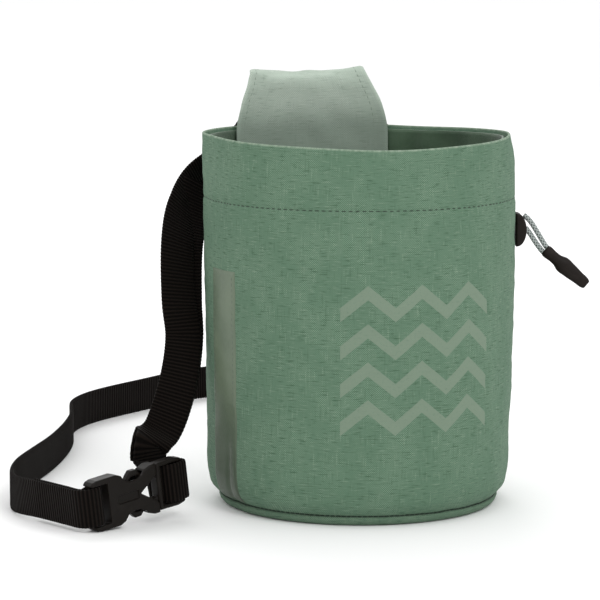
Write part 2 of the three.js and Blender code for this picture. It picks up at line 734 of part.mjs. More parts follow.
function plugGeometry() {
  const half = BUCKLE_WIDTH / 2;
  const through = 2 * BUCKLE_THICKNESS;
  const thickness = BUCKLE_THICKNESS - SOCKET_SHELL;
  const armThickness = BUCKLE_THICKNESS - 2 * SOCKET_SHELL - 2 * MOULDED_GAP;
  const opening = WEB_WIDTH + 2 * WEB_GAP;
  const outline = mirrored(halfWidths(PLUG_OUTLINE, PLUG_START, PLUG_BASE_LENGTH));
  let body = plate(outline, thickness, 0.5);
  const window = PLUG_BASE_LENGTH - 2 * WEB_BAR + 0.5;
  body = body.subtract(box(PLUG_START + WEB_BAR - 0.5, window, through, 0, opening));
  const outer = box(PLUG_END - WEB_BAR, 2 * WEB_BAR, through, 0, opening);
  body = body.subtract(outer.subtract(box(0, 2 * PLUG_END, WEB_BAR, 0, 2 * WEB_WIDTH)));
  const arm = halfWidths(ARM_OUTLINE, 0, -PLUG_ARM_LENGTH).map(([x, z]) => [PLUG_START + 1 + x, z]);
  const inner = arm.map(([x, z]) => [x, z - PLUG_ARM_WIDTH]).reverse();
  for (const side of [-1, 1]) {
    const points = [...arm, ...inner].map(([x, z]) => [x, side * z]);
    body = body.add(plate(points, armThickness, 0.4));
  }
  return geometryOf(body);
}

// The drawcord's port, strands and end
function portRadius() {
  return wallRadius(PORT_AT, PORT_CENTRE_UP / BAG_HEIGHT) + CLOTH_GAP;
}

function portGeometry() {
  const shape = new THREE.Shape();
  shape.moveTo(0, -PORT_HEIGHT / 2);
  shape.lineTo(0.12 * PORT_DEPTH, -PORT_HEIGHT / 2);
  shape.absellipse(0.12 * PORT_DEPTH, 0, 0.88 * PORT_DEPTH, PORT_HEIGHT / 2, -Math.PI / 2, Math.PI / 2);
  shape.lineTo(0, PORT_HEIGHT / 2);
  const geometry = new THREE.ExtrudeGeometry(shape, {
    depth: PORT_WIDTH - 1,
    bevelThickness: 0.5,
    bevelSize: 0.5,
    bevelOffset: -0.5,
    bevelSegments: 1,
    curveSegments: 12,
  });
  geometry.translate(0, 0, 0.5 - PORT_WIDTH / 2);
  geometry.rotateX(Math.PI / 2);
  return geometryOf(solidOf(geometry));
}

// The strands' points, chosen by hand, in the port's frame: x out from the wall, y round it, z up.
const UPPER_STRAND = [
  [4.9, 0, 4.9],
  [6.7, 0, 2.9],
  [8.9, 0, -0.5],
  [11, -0.2, -4],
  [13.2, -0.5, -7.45],
];
const LOWER_STRAND = [
  [6.1, 0, -1.6],
  [7.6, 0, -3.9],
  [9.2, -0.2, -6.3],
  [10.4, -0.4, -7.9],
  [11.5, -0.5, -9.3],
];
const CORD_END_START = [12.6, -0.6, -8.7];
const CORD_END_TIP = [30.3, -3.4, -23.5];

function strandGeometry(points) {
  const curve = new THREE.CatmullRomCurve3(points.map((p) => new THREE.Vector3(...p)), false, "centripetal");
  const section = new THREE.Shape();
  const sides = 8;
  for (let i = 0; i < sides; i += 1) {
    const angle = (2 * Math.PI * i) / sides;
    const [x, y] = [(CORD_DIAMETER / 2) * Math.cos(angle), (CORD_DIAMETER / 2) * Math.sin(angle)];
    if (i === 0) section.moveTo(x, y);
    else section.lineTo(x, y);
  }
  const geometry = new THREE.ExtrudeGeometry(section, {
    steps: 6,
    extrudePath: curve,
    bevelEnabled: false,
  });
  return geometryOf(solidOf(geometry));
}

// The cord end along its length: width and thickness as shares of its widest.
const CORD_END_PROFILE = [
  { along: 0, wide: 0.74, thick: 0.86 },
  { along: 0.07, wide: 0.78, thick: 0.92 },
  { along: 0.18, wide: 0.72, thick: 0.84 },
  { along: 0.3, wide: 0.76, thick: 0.86 },
  { along: 0.4, wide: 1, thick: 1 },
  { along: 0.58, wide: 0.96, thick: 0.94 },
  { along: 0.8, wide: 0.8, thick: 0.78 },
  { along: 0.96, wide: 0.68, thick: 0.64 },
  { along: 1, wide: 0.56, thick: 0.5 },
];

function cordEndGeometry() {
  const start = new THREE.Vector3(...CORD_END_START);
  const along = new THREE.Vector3(...CORD_END_TIP).sub(start).normalize();
  const thick = new THREE.Vector3(0, 1, 0).addScaledVector(along, -along.y).normalize();
  const wide = new THREE.Vector3().crossVectors(along, thick);
  const sides = 16;
  const rings = CORD_END_PROFILE.map((row) => {
    const centre = start.clone().addScaledVector(along, row.along * CORD_END_LENGTH);
    return Array.from({ length: sides }, (_, i) => {
      const angle = (2 * Math.PI * i) / sides;
      return centre
        .clone()
        .addScaledVector(wide, 0.5 * row.wide * CORD_END_WIDTH * Math.cos(angle))
        .addScaledVector(thick, 0.5 * row.thick * CORD_END_THICKNESS * Math.sin(angle));
    });
  });
  return cappedRings(rings, start, start.clone().addScaledVector(along, CORD_END_LENGTH));
}

// Materials
function fabric(color) {
  return new THREE.MeshStandardMaterial({ color, roughness: 0.82, metalness: 0 });
}

function moulded(color) {
  return new THREE.MeshStandardMaterial({ color, roughness: 0.38, metalness: 0 });
}

const sage = fabric(0x6b8c74);
const darkSage = fabric(0x4c6b56);
const pale = fabric(0xa5b6a5);
const webbing = fabric(0x1c1a18);
const blackPlastic = moulded(0x181716);
const greyCord = fabric(0x78878a);

function piece(name, geometry, material) {
  const mesh = new THREE.Mesh(geometry, material);
  mesh.name = name;
  return mesh;
}

// The assembly
const chalkBag = new THREE.Group();
chalkBag.add(
  piece("bag_wall", wallGeometry(), sage),
  piece("base_panel", baseGeometry(), sage),
  piece("lining", liningGeometry(), darkSage),
  piece("belt_loop", loopGeometry(), pale),
  piece("belt", ribbonGeometry(beltStations(), WEB_WIDTH / 2), webbing),
);

const buckle = new THREE.Group();
buckle.applyMatrix4(BUCKLE);
buckle.add(
  piece("buckle_socket", socketGeometry(), blackPlastic),
  piece("buckle_plug", plugGeometry(), blackPlastic),
);
chalkBag.add(buckle);

const drawcord = new THREE.Group();
drawcord.position.copy(polar(portRadius(), PORT_AT, PORT_CENTRE_UP));
drawcord.rotation.z = radians(PORT_AT);
drawcord.add(
  piece("cord_port", portGeometry(), blackPlastic),
  piece("drawcord_upper", strandGeometry(UPPER_STRAND), greyCord),
  piece("drawcord_lower", strandGeometry(LOWER_STRAND), greyCord),
  piece("cord_end", cordEndGeometry(), blackPlastic),
);
chalkBag.add(drawcord);

export default chalkBag;
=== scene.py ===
import math

import bmesh
import bpy
import numpy as np
from mathutils import Matrix, Vector


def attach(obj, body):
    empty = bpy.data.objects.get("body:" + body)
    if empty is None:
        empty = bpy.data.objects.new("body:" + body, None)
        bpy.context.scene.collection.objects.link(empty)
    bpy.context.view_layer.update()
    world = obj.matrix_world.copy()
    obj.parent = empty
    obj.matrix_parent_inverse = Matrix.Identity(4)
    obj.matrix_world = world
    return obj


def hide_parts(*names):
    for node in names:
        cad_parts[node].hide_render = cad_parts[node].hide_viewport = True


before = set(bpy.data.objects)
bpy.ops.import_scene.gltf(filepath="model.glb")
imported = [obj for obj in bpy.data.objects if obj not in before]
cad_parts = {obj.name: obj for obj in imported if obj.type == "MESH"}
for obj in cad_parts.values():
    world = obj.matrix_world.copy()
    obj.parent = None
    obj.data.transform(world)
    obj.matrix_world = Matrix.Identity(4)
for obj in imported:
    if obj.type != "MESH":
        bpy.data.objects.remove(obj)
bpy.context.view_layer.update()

# Lengths here are millimetres, as in the model's source, and turn into metres where a mesh is made.
MM = 0.001

# Bag
BAG_RADIUS = 65.2
BAG_HEIGHT = 155
WALL_THICKNESS = 1.4
HEM_DEPTH = 25.5
HEM_THICKENING = 0.5
MOUTH_FLATTENING = 4.5
MOUTH_LONG_AXIS = 160
BASE_THICKNESS = 2.2
BASE_RISE = 4
LINING_THICKNESS = 1
LINING_DROP = 1.6
CLOTH_GAP = 0.35
SEAM_SHARE = 0.012
RIM_FOLD = 1.1

# Belt loop
LOOP_AT = 92
LOOP_WIDTH = 66
LOOP_RISE = 24.5
LOOP_THICKNESS = 1.1
LOOP_DIP = 1.8
FOLD_ROOM = 1.8

# Belt
WEB_WIDTH = 16
WEB_THICKNESS = 1.5
WEB_GAP = 0.45
FLOOR_GAP = 0.35
LYING_REACH = 197
TAIL_SPACING = 2.4
RIB_PITCH = 1.5

# Buckle
BUCKLE_WIDTH = 21.4
BUCKLE_THICKNESS = 6.4
BUCKLE_WALL_GAP = 18.8
BUCKLE_AT = 188.2
BUCKLE_TURN = 20
BUCKLE_TILT = 7.5
SOCKET_LENGTH = 33
PLUG_BASE_LENGTH = 14
WEB_BAR = 2.4
MOULDED_GAP = 0.3

# Drawcord
CORD_DIAMETER = 2.2
PORT_AT = 341.5
PORT_CENTRE_UP = 115
CORD_END_LENGTH = 23
CORD_END_WIDTH = 6.8
CORD_END_THICKNESS = 4.8

# Height share and radius share of the wall
WALL_PROFILE = [
    (0.028, 0.91), (0.05, 0.956), (0.085, 0.981), (0.16, 0.988), (0.28, 0.99), (0.42, 0.994),
    (0.56, 1), (0.7, 1.003), (0.8, 1.001), (0.9, 0.998), (1, 0.997),
]

# Dents: angle, height share, spread in degrees and in height, depth share
WALL_DENTS = [
    (160, 1, 9, 0.22, 0.016), (181, 1, 13, 0.25, -0.02), (189, 0.1, 5, 0.12, -0.014),
    (338, 0.12, 26, 0.2, -0.018), (341, 1.02, 18, 0.06, -0.04), (300, 0.45, 40, 0.25, 0.006),
    (235, 0.62, 14, 0.2, -0.006), (20, 0.45, 22, 0.25, -0.012), (118, 0.35, 18, 0.2, -0.012),
]

# Rim waves: angle, spread, rise share
RIM_WAVES = [
    (160, 40, 0.009), (262, 28, -0.008), (335, 22, 0.008), (45, 25, -0.005), (92, 30, 0.005),
]

# Lining folds: as dents, with the drift in degrees
LINING_FOLDS = [
    (38, 0.82, 5, 0.3, 0.045, 6), (52, 0.9, 4.5, 0.2, 0.03, 8), (16, 0.6, 8, 0.3, 0.05, -5),
    (325, 0.55, 9, 0.25, 0.045, 7), (283, 0.5, 8, 0.28, 0.055, -8), (240, 0.6, 9, 0.25, 0.04, 6),
    (203, 0.5, 7, 0.3, 0.05, -4), (160, 0.65, 8, 0.25, 0.045, 5), (128, 0.5, 7, 0.25, 0.05, -6),
    (84, 0.35, 9, 0.2, 0.05, 4),
]

# Belt loop: lane, rise, half width, shift, dip
LOOP_PATH = [
    (0, -1.15, 0.526, -0.02, 0), (0, -0.45, 0.526, -0.02, 0), (0, 0, 0.521, -0.02, 0),
    (0, 0.39, 0.487, -0.018, 0.2), (0, 0.7, 0.436, -0.02, 0.6), (0.08, 0.88, 0.41, -0.022, 1),
    (0.25, 0.97, 0.4, -0.019, 1.3), (0.5, 1, 0.39, -0.006, 1.3), (0.78, 0.97, 0.372, 0.018, 1),
    (0.95, 0.88, 0.368, 0.018, 0.8), (1, 0.6, 0.392, 0.022, 0.4), (1, 0.1, 0.43, 0.028, 0.1),
    (1, -0.85, 0.45, 0.028, 0), (1.3, -1.1, 0.455, 0.022, 0), (2, -1.35, 0.46, 0.018, 0),
    (2, -1.65, 0.46, 0.018, 0),
]

# Belt on the floor: angle, distance share
LYING_RUN = [
    (171.6, 0.418), (160, 0.41), (148, 0.401), (137.6, 0.416), (125.4, 0.483), (116.8, 0.581),
    (111.6, 0.687), (106, 0.765), (95.8, 0.87), (86.1, 1), (80.7, 0.984), (75.5, 0.886),
    (71.5, 0.738), (68.5, 0.585),
]

# Belt behind the bag: angle, distance share, height share, turn, tilt
RISING_RUN = [
    (66, 0.43, 0.056, 20, 62), (62, 0.29, 0.085, 2, 30), (57.5, 0.185, 0.19, -15, 6),
    (51, 0.115, 0.37, -32, 0), (45, 0.078, 0.57, -42, 2), (44, 0.062, 0.735, -44, 8),
    (52, 0.052, 0.868, -38, 28),
]

# Belt through the loop: angle off the loop's middle, fall share, tilt
ARCH = [
    (-31, 0.82, 55), (-22, 0.46, 68), (-12, 0.14, 80), (0, 0, 90), (12, 0.14, 80), (22, 0.46, 68),
    (31, 0.82, 55),
]

# Belt beside the bag and its tail: angle, distance share, height share, turn, tilt
HANGING_RUN = [
    (131, 0.16, 0.877, 210, 35), (146.4, 0.19, 0.797, 205, 18), (157.7, 0.19, 0.705, 195, 8),
    (166.6, 0.165, 0.548, 190, 2), (170.1, 0.1, 0.456, 184, 2), (174.5, 0.3, 0.335, 174, 8),
    (177.4, 0.7, 0.22, 168, 14),
]
TAIL_RUN = [
    (175.6, 0.64, 0.22, 168, 14), (172.4, 0.24, 0.335, 172, 8), (167.8, 0.05, 0.456, 174, 2),
    (163.2, 0.06, 0.548, 165, 0), (153.2, 0.065, 0.705, 168, 4), (142.7, 0.03, 0.797, 182, 10),
    (137.2, 0.03, 0.85, 190, 16),
]

# How the belt leaves the socket: along and across, as shares of WEB_WIDTH
LEAD = [
    (-0.1, -0.12), (-0.25, 0.08), (-0.28, 0.7), (-0.29, 1.35), (-0.3, 2),
]

# The bend behind the buckle: along, back and up as shares of WEB_WIDTH, and the webbing's lean
BEND = [
    (0.62, 0.58, 0.86, 8), (0.54, 0.62, 0.38, 38), (0.34, 0.47, 0.08, 74),
]

# Drawcord: points in the port's frame, from the port into the cord end and back
CORD_ROUTE = [
    (3.6, 0, 5.9), (4.9, 0, 4.9), (6.7, 0, 2.9), (8.9, 0, -0.5), (11, -0.2, -4),
    (13.2, -0.5, -7.45), (15.6, -0.9, -9.8), (17, -1.2, -11.3), (17.3, -1.3, -12.7),
    (15.9, -1.2, -12.6), (14.2, -0.9, -11.4), (11.5, -0.5, -9.3), (10.4, -0.4, -7.9),
    (9.2, -0.2, -6.3), (7.6, 0, -3.9), (6.1, 0, -1.6), (4.4, 0, 0.6),
]

# Cord end: its two ends in the port's frame, and share of length, width share, thickness share
CORD_END_START = (12.6, -0.6, -8.7)
CORD_END_TIP = (30.3, -3.4, -23.5)
CORD_END_PROFILE = [
    (0, 0.74, 0.86), (0.07, 0.78, 0.92), (0.18, 0.72, 0.84), (0.3, 0.76, 0.86), (0.4, 1, 1),
    (0.58, 0.96, 0.94), (0.8, 0.8, 0.78), (0.96, 0.68, 0.64), (1, 0.56, 0.5),
]

# Base's edge, from below: inwards and up, as shares of BASE_RISE
BASE_EDGE = [
    (1.05, 0), (0.8, 0.015), (0.5, 0.1), (0.28, 0.25), (0.12, 0.45), (0.02, 0.66), (0.02, 0.82),
    (0.1, 0.94), (0.26, 1),
]

# Latch slot on the socket's faces: from, to and half width; side window: along and across. All are
# shares of SOCKET_LENGTH and of half of BUCKLE_WIDTH
SOCKET_SLOT = (0.36, 0.7, 0.17)
SLOT_DEPTH = 0.85
SOCKET_WINDOW = [
    (0.45, 1.1), (0.47, 0.82), (0.52, 0.66), (0.6, 0.58), (0.7, 0.6), (0.78, 0.72), (0.83, 0.9),
    (0.84, 1.1),
]

# Webbing's section: across as a share of half the width, height as a share of half the thickness
WEB_ACROSS = np.array([-1, -0.965, -0.86, -0.5, 0, 0.5, 0.86, 0.965, 1])
WEB_LIFT = np.array([0.3, 0.8, 1, 1, 1, 1, 1, 0.8, 0.3])

# Stretch of the belt whose bends are eased: where it begins and ends, in millimetres along the belt
EASED_FROM = (84, 96)
EASED_TO = (420, 460)

# Camera, in the bag's frame
CAMERA_AT = (-0.4681, -1.2130, 0.265)
CAMERA_PITCH = 82.12
CAMERA_TURN = -20
CAMERA_LENS = 186.4

# The print on the front and the strip at the side
PRINT_AT = 272
PRINT_UP = 69
PRINT_HALF_WIDTH = 34
PRINT_HALF_HEIGHT = 31
PRINT_STROKE = 2.9
STRIP_FROM = 180.5
STRIP_TO = 197.5
STRIP_TOP = 102

# Stitching: pitch, a stitch's share of it, width, height, how deep it sinks, seed
HEM_STITCH = (2.75, 0.62, 0.5, 0.34, 0.02, 3)
BASE_STITCH = (2.2, 0.8, 0.5, 0.36, 0.05, 5)
LOOP_STITCH = (2.6, 0.62, 0.4, 0.26, 0.03, 7)
BELT_STITCH = (2.2, 0.7, 0.5, 0.36, 0.02, 11)
STRIP_STITCH = (2.4, 0.62, 0.36, 0.24, 0.03, 13)

# Lights, in metres: place, target, size, power
KEY_LIGHT = ((0.2, -1.5, 1.5), (0, 0, 0.08), 0.8, 9)
BACK_LIGHT = ((0.2, 1.2, 1.3), (0, 0, 0.1), 0.9, 6)
WORLD_STRENGTH = 1.08
FLOOR_REACH = 30000


def configure(thing, **values):
    for key, value in values.items():
        setattr(thing, key, value)
    return thing


def link(obj):
    bpy.context.scene.collection.objects.link(obj)
    return obj


# Camera
def make_camera():
    data = bpy.data.cameras.new("camera")
    configure(data, lens=CAMERA_LENS, sensor_width=36, clip_start=0.05, clip_end=50)
    camera = link(bpy.data.objects.new("camera", data))
    turn = (math.radians(CAMERA_PITCH), 0, math.radians(CAMERA_TURN))
    configure(camera, location=CAMERA_AT, rotation_euler=turn)
    bpy.context.scene.camera = camera


make_camera()


# Numbers
def polar(radius, angle, z):
    a = np.radians(angle)
    return np.stack(np.broadcast_arrays(radius * np.cos(a), radius * np.sin(a), z), axis=-1)


def direction(turn, tilt):
    t = math.radians(tilt)
    a = math.radians(turn)
    return np.array([math.cos(t) * math.cos(a), math.cos(t) * math.sin(a), math.sin(t)])


def bump(distance, spread):
    return np.exp(-((distance / spread) ** 2))


def turn_between(a, b):
    return (a - b + 540) % 360 - 180


def smooth_step(low, high, value):
    t = np.clip((value - low) / (high - low), 0, 1)
    return t * t * (3 - 2 * t)


def smooth_column(xs, ys, x):
    """A smooth curve through a table's rows."""
    xs = np.asarray(xs, float)
    ys = np.asarray(ys, float)
    slopes = np.gradient(ys, xs)
    i = np.clip(np.searchsorted(xs, x) - 1, 0, len(xs) - 2)
    h = xs[i + 1] - xs[i]
    t = np.clip((x - xs[i]) / h, 0, 1)
    a = (1 + 2 * t) * (1 - t) ** 2 * ys[i] + t * (1 - t) ** 2 * h * slopes[i]
    b = t * t * (3 - 2 * t) * ys[i + 1] + t * t * (t - 1) * h * slopes[i + 1]
    return a + b


def ripples(x, y, seed, longest, shortest):
    """Soft irregular waves of about unit height over a surface in millimetres."""
    count = 24
    rng = np.random.default_rng(seed)
    total = np.zeros(np.broadcast(x, y).shape)
    for _ in range(count):
        length = shortest * (longest / shortest) ** rng.random()
        heading = rng.random() * math.tau
        phase = rng.random() * math.tau
        total += np.cos(math.tau * (x * math.cos(heading) + y * math.sin(heading)) / length + phase)
    return total / math.sqrt(count / 2)


def catmull(points, steps):
    """Points of a centripetal curve through stations, and how far along the stations each lies."""
    p = np.asarray(points, float)
    p = np.vstack([2 * p[0] - p[1], p, 2 * p[-1] - p[-2]])
    out = []
    where = []
    for i in range(1, len(p) - 2):
        p0, p1, p2, p3 = p[i - 1:i + 3]
        pairs = ((p0, p1), (p1, p2), (p2, p3))
        d0, d1, d2 = [max(1e-4, np.linalg.norm(b - a) ** 0.5) for a, b in pairs]
        m1 = d1 * ((p1 - p0) / d0 - (p2 - p0) / (d0 + d1) + (p2 - p1) / d1)
        m2 = d1 * ((p2 - p1) / d1 - (p3 - p1) / (d1 + d2) + (p3 - p2) / d2)
        t = np.linspace(0, 1, steps, endpoint=False)[:, None]
        square, cube = 3 * (p2 - p1) - 2 * m1 - m2, 2 * (p1 - p2) + m1 + m2
        out.append(p1 + m1 * t + square * t**2 + cube * t**3)
        where.append(i - 1 + t[:, 0])
    out.append(p[-2][None])
    where.append(np.array([len(p) - 3.0]))
    return np.vstack(out), np.concatenate(where)


def distances(points):
    """How far along a polyline each of its points lies."""
    return np.concatenate([[0], np.cumsum(np.linalg.norm(np.diff(points, axis=0), axis=1))])


def evenly(points, spacing):
    """Where along a polyline its evenly spaced points lie, as indices that may fall between points."""
    lengths = distances(points)
    count = max(2, int(round(lengths[-1] / spacing)))
    targets = np.linspace(0, lengths[-1], count + 1)
    return np.interp(targets, lengths, np.arange(len(points))), targets


def sample(values, at):
    values = np.asarray(values, float)
    columns = [np.interp(at, np.arange(len(values)), values[:, k]) for k in range(values.shape[1])]
    return np.stack(columns, axis=1)


def unit(v):
    return v / np.maximum(np.linalg.norm(v, axis=-1, keepdims=True), 1e-9)


# Meshes
def mesh_object(name, points, faces, uvs=None):
    """An object from points in millimetres; uvs has one pair in metres for each corner of each face."""
    mesh = bpy.data.meshes.new(name)
    mesh.from_pydata((np.asarray(points) * MM).tolist(), [], faces)
    if uvs is not None:
        layer = mesh.uv_layers.new(name="cloth")
        layer.data.foreach_set("uv", np.asarray(uvs, float).ravel())
    mesh.polygons.foreach_set("use_smooth", [True] * len(mesh.polygons))
    mesh.update()
    return link(bpy.data.objects.new(name, mesh))


def grid_object(name, grid, us, vs, ring=False):
    """A surface from closed rows of points, with u and v in metres, where one more place at the end of
    each row closes it. The rows close in a ring too, or else the two ends are capped."""
    rows, columns = grid.shape[:2]
    us = np.broadcast_to(us, (rows, columns + 1))
    vs = np.broadcast_to(vs, (rows, columns + 1))
    i, j = np.meshgrid(np.arange(rows if ring else rows - 1), np.arange(columns), indexing="ij")
    i, j = i.ravel(), j.ravel()
    i2, j2 = (i + 1) % rows, (j + 1) % columns
    near, far = i * columns, i2 * columns
    faces = np.stack([near + j, near + j2, far + j2, far + j], axis=1).tolist()
    iv = np.minimum(i + 1, rows - 1)
    corners = [(i, j), (i, j + 1), (iv, j + 1), (iv, j)]
    uv = np.stack([np.stack([us[a, b], vs[a, b]], axis=1) for a, b in corners], axis=1).reshape(-1, 2)
    if not ring:
        first = list(range(columns))[::-1]
        final = [(rows - 1) * columns + k for k in range(columns)]
        for cap in (first, final):
            faces.append(cap)
            flat = [(us[k // columns, k % columns], vs[k // columns, k % columns]) for k in cap]
            uv = np.vstack([uv, flat])
    return outward(mesh_object(name, grid.reshape(-1, 3), faces, uv))


def there_and_back(width):
    """Places along the front of a flat piece and back along its other side, to where they began."""
    return np.concatenate([width, width[::-1], width[:1]])


def outward(obj):
    """Turns a closed mesh's faces out."""
    work = bmesh.new()
    work.from_mesh(obj.data)
    bmesh.ops.recalc_face_normals(work, faces=work.faces)
    if work.calc_volume(signed=True) < 0:
        bmesh.ops.reverse_faces(work, faces=work.faces)
    work.to_mesh(obj.data)
    work.free()
    return obj


def join_meshes(name, parts):
    """One object from (points, faces) pairs."""
    points = []
    faces = []
    start = 0
    for p, f in parts:
        points.append(p)
        faces.extend([[k + start for k in face] for face in f])
        start += len(p)
    return mesh_object(name, np.vstack(points), faces)


def joined(name, parts):
    """One object from several, which it takes up."""
    pieces = []
    for part in parts:
        count = len(part.data.vertices)
        points = np.empty(count * 3)
        part.data.vertices.foreach_get("co", points)
        pieces.append((points.reshape(-1, 3) / MM, [list(face.vertices) for face in part.data.polygons]))
        bpy.data.objects.remove(part)
    return join_meshes(name, pieces)


def capsule(middle, along, up, length, width, height):
    """A stitch: a short rounded bar that lies along a surface."""
    sides = 6
    side = np.cross(up, along)
    rings = [(-0.5, 0.25), (-0.42, 0.75), (-0.2, 1), (0.2, 1), (0.42, 0.75), (0.5, 0.25)]
    points = []
    for x, share in rings:
        for k in range(sides):
            a = math.tau * k / sides
            spread = side * (width / 2 * share * math.cos(a)) + up * (height / 2 * share * math.sin(a))
            points.append(middle + along * (x * length) + spread)
    faces = []
    for i in range(len(rings) - 1):
        for k in range(sides):
            k2 = (k + 1) % sides
            faces.append([i * sides + k, i * sides + k2, (i + 1) * sides + k2, (i + 1) * sides + k])
    faces.append(list(range(sides))[::-1])
    faces.append([(len(rings) - 1) * sides + k for k in range(sides)])
    return np.array(points), faces


def stitches(name, path, normals, kind):
    """A line of stitches along a path of points, each of them a share of the pitch long."""
    pitch, share, width, height, sink, seed = kind
    rng = np.random.default_rng(seed)
    at, _ = evenly(path, pitch)
    middles = sample(path, (at[:-1] + at[1:]) / 2)
    ups = unit(sample(normals, (at[:-1] + at[1:]) / 2))
    alongs = unit(sample(path, at[1:]) - sample(path, at[:-1]))
    parts = []
    for middle, up, along in zip(middles, ups, alongs):
        along = unit(along + 0.05 * rng.standard_normal() * np.cross(up, along))
        up = unit(up - along * np.dot(up, along))
        length = pitch * share * (1 + 0.08 * rng.standard_normal())
        parts.append(capsule(middle - up * sink, along, up, length, width, height))
    return join_meshes(name, parts)


# Materials
WEAVE_PITCH = 0.00088
YARN_PITCH = 0.0006
LINING_THREAD = 0.0004
BRAID_PITCH = 0.0016


class Shade:
    """A material under construction, with short ways to add nodes."""

    def __init__(self, name, color, roughness):
        self.material = bpy.data.materials.new(name)
        self.material.use_nodes = True
        self.tree = self.material.node_tree
        self.bsdf = self.tree.nodes["Principled BSDF"]
        self.set("Base Color", (*color, 1))
        self.set("Roughness", roughness)

    def set(self, name, value):
        self.bsdf.inputs[name].default_value = value

    def node(self, kind, **values):
        return configure(self.tree.nodes.new(kind), **values)

    def plug(self, value, socket):
        if isinstance(value, (int, float, tuple)):
            socket.default_value = value
        else:
            self.tree.links.new(value, socket)

    def math(self, operation, a, b=0.0, c=0.0):
        node = self.node("ShaderNodeMath", operation=operation)
        for value, socket in zip((a, b, c), node.inputs):
            self.plug(value, socket)
        return node.outputs[0]

    def times(self, a, b):
        return self.math("MULTIPLY", a, b)

    def times_add(self, a, b, c):
        return self.math("MULTIPLY_ADD", a, b, c)

    def sine(self, a):
        return self.math("SINE", a)

    def ramp(self, value, low, high, out_low=0.0, out_high=1.0):
        node = self.node("ShaderNodeMapRange", interpolation_type="SMOOTHSTEP")
        keys = ("Value", "From Min", "From Max", "To Min", "To Max")
        for key, number in zip(keys, (value, low, high, out_low, out_high)):
            self.plug(number, node.inputs[key])
        return node.outputs["Result"]

    def uv(self):
        node = self.node("ShaderNodeUVMap", uv_map="cloth")
        split = self.node("ShaderNodeSeparateXYZ")
        self.plug(node.outputs[0], split.inputs[0])
        return split.outputs[0], split.outputs[1]

    def place(self):
        return self.node("ShaderNodeTexCoord").outputs["Object"]

    def texture(self, vector, scale, detail):
        node = self.node("ShaderNodeTexNoise")
        self.plug(vector, node.inputs["Vector"])
        node.inputs["Scale"].default_value = scale
        node.inputs["Detail"].default_value = detail
        return node.outputs["Fac"]

    def noise(self, x, y, scale_x, scale_y, detail, seed):
        joined = self.node("ShaderNodeCombineXYZ")
        self.plug(self.times(x, scale_x), joined.inputs[0])
        self.plug(self.times(y, scale_y), joined.inputs[1])
        joined.inputs[2].default_value = seed
        return self.texture(joined.outputs[0], 1, detail)

    def solid_noise(self, scale, detail=2.0):
        return self.texture(self.place(), scale, detail)

    def mix(self, share, a, b):
        node = self.node("ShaderNodeMix", data_type="RGBA")
        self.plug(share, node.inputs[0])
        self.plug((*a, 1) if isinstance(a, tuple) else a, node.inputs[6])
        self.plug((*b, 1) if isinstance(b, tuple) else b, node.inputs[7])
        return node.outputs[2]

    def color(self, value):
        self.plug(value, self.bsdf.inputs["Base Color"])

    def roughness(self, value):
        self.plug(value, self.bsdf.inputs["Roughness"])

    def bump(self, height, distance, strength=1.0):
        node = self.node("ShaderNodeBump")
        node.inputs["Distance"].default_value = distance
        node.inputs["Strength"].default_value = strength
        self.plug(height, node.inputs["Height"])
        self.tree.links.new(node.outputs[0], self.bsdf.inputs["Normal"])


def linear(red, green, blue):
    """A colour of a screen as the renderer's own."""
    shares = (red / 255, green / 255, blue / 255)
    return tuple(((c + 0.055) / 1.055) ** 2.4 if c > 10 / 255 else c / 12.92 for c in shares)


def slub_cloth(name, dark, middle, light, roughness, contrast=1.0, extra=None):
    """Plain-weave cloth with thicker slub yarns both ways. extra(shade, color, relief) may add to it."""
    shade = Shade(name, middle, roughness)
    times, times_add, ramp = shade.times, shade.times_add, shade.ramp
    u, v = shade.uv()
    across = shade.noise(u, v, 210, 1900, 2.0, 3.0)
    upright = shade.noise(u, v, 1300, 120, 2.0, 9.0)
    across_slub = ramp(across, 0.56, 0.74)
    upright_slub = ramp(upright, 0.58, 0.76)
    across_dark = ramp(across, 0.44, 0.28)
    upright_dark = ramp(upright, 0.42, 0.27)
    wobble = shade.noise(u, v, 260, 260, 1.0, 5.0)
    turns = math.tau / WEAVE_PITCH
    warp_at = times_add(u, turns, times(wobble, 5.0))
    weft_at = times_add(v, turns * 1.1, times(wobble, 4.0))
    weave = times(shade.sine(warp_at), shade.sine(weft_at))
    patches = shade.noise(u, v, 60, 45, 2.0, 1.0)
    crossed = times(weave, ramp(patches, 0.38, 0.62, 0.2, 0.85))
    dots = times_add(shade.sine(weft_at), 0.5, 0.5)
    lightness = times(across_slub, 0.6 * contrast)
    lightness = times_add(times(upright_slub, dots), 0.95 * contrast, lightness)
    lightness = shade.math("ADD", lightness, shade.math("MAXIMUM", crossed, 0.0))
    darkness = times(across_dark, 0.75 * contrast)
    darkness = times_add(upright_dark, 0.3 * contrast, darkness)
    darkness = times_add(ramp(patches, 0.62, 0.38), 0.12, darkness)
    darkness = shade.math("SUBTRACT", darkness, shade.math("MINIMUM", crossed, 0.0))
    color = shade.mix(lightness, middle, light)
    color = shade.mix(darkness, color, dark)
    relief = times(weave, 0.35)
    relief = times_add(across_slub, 0.9, relief)
    relief = times_add(upright_slub, 0.6, relief)
    if extra:
        color, relief = extra(shade, color, relief)
    shade.color(color)
    shade.bump(relief, 0.00016, 0.8)
    shade.set("Sheen Weight", 0.02)
    shade.set("Sheen Roughness", 0.5)
    shade.set("Specular IOR Level", 0.2)
    return shade.material


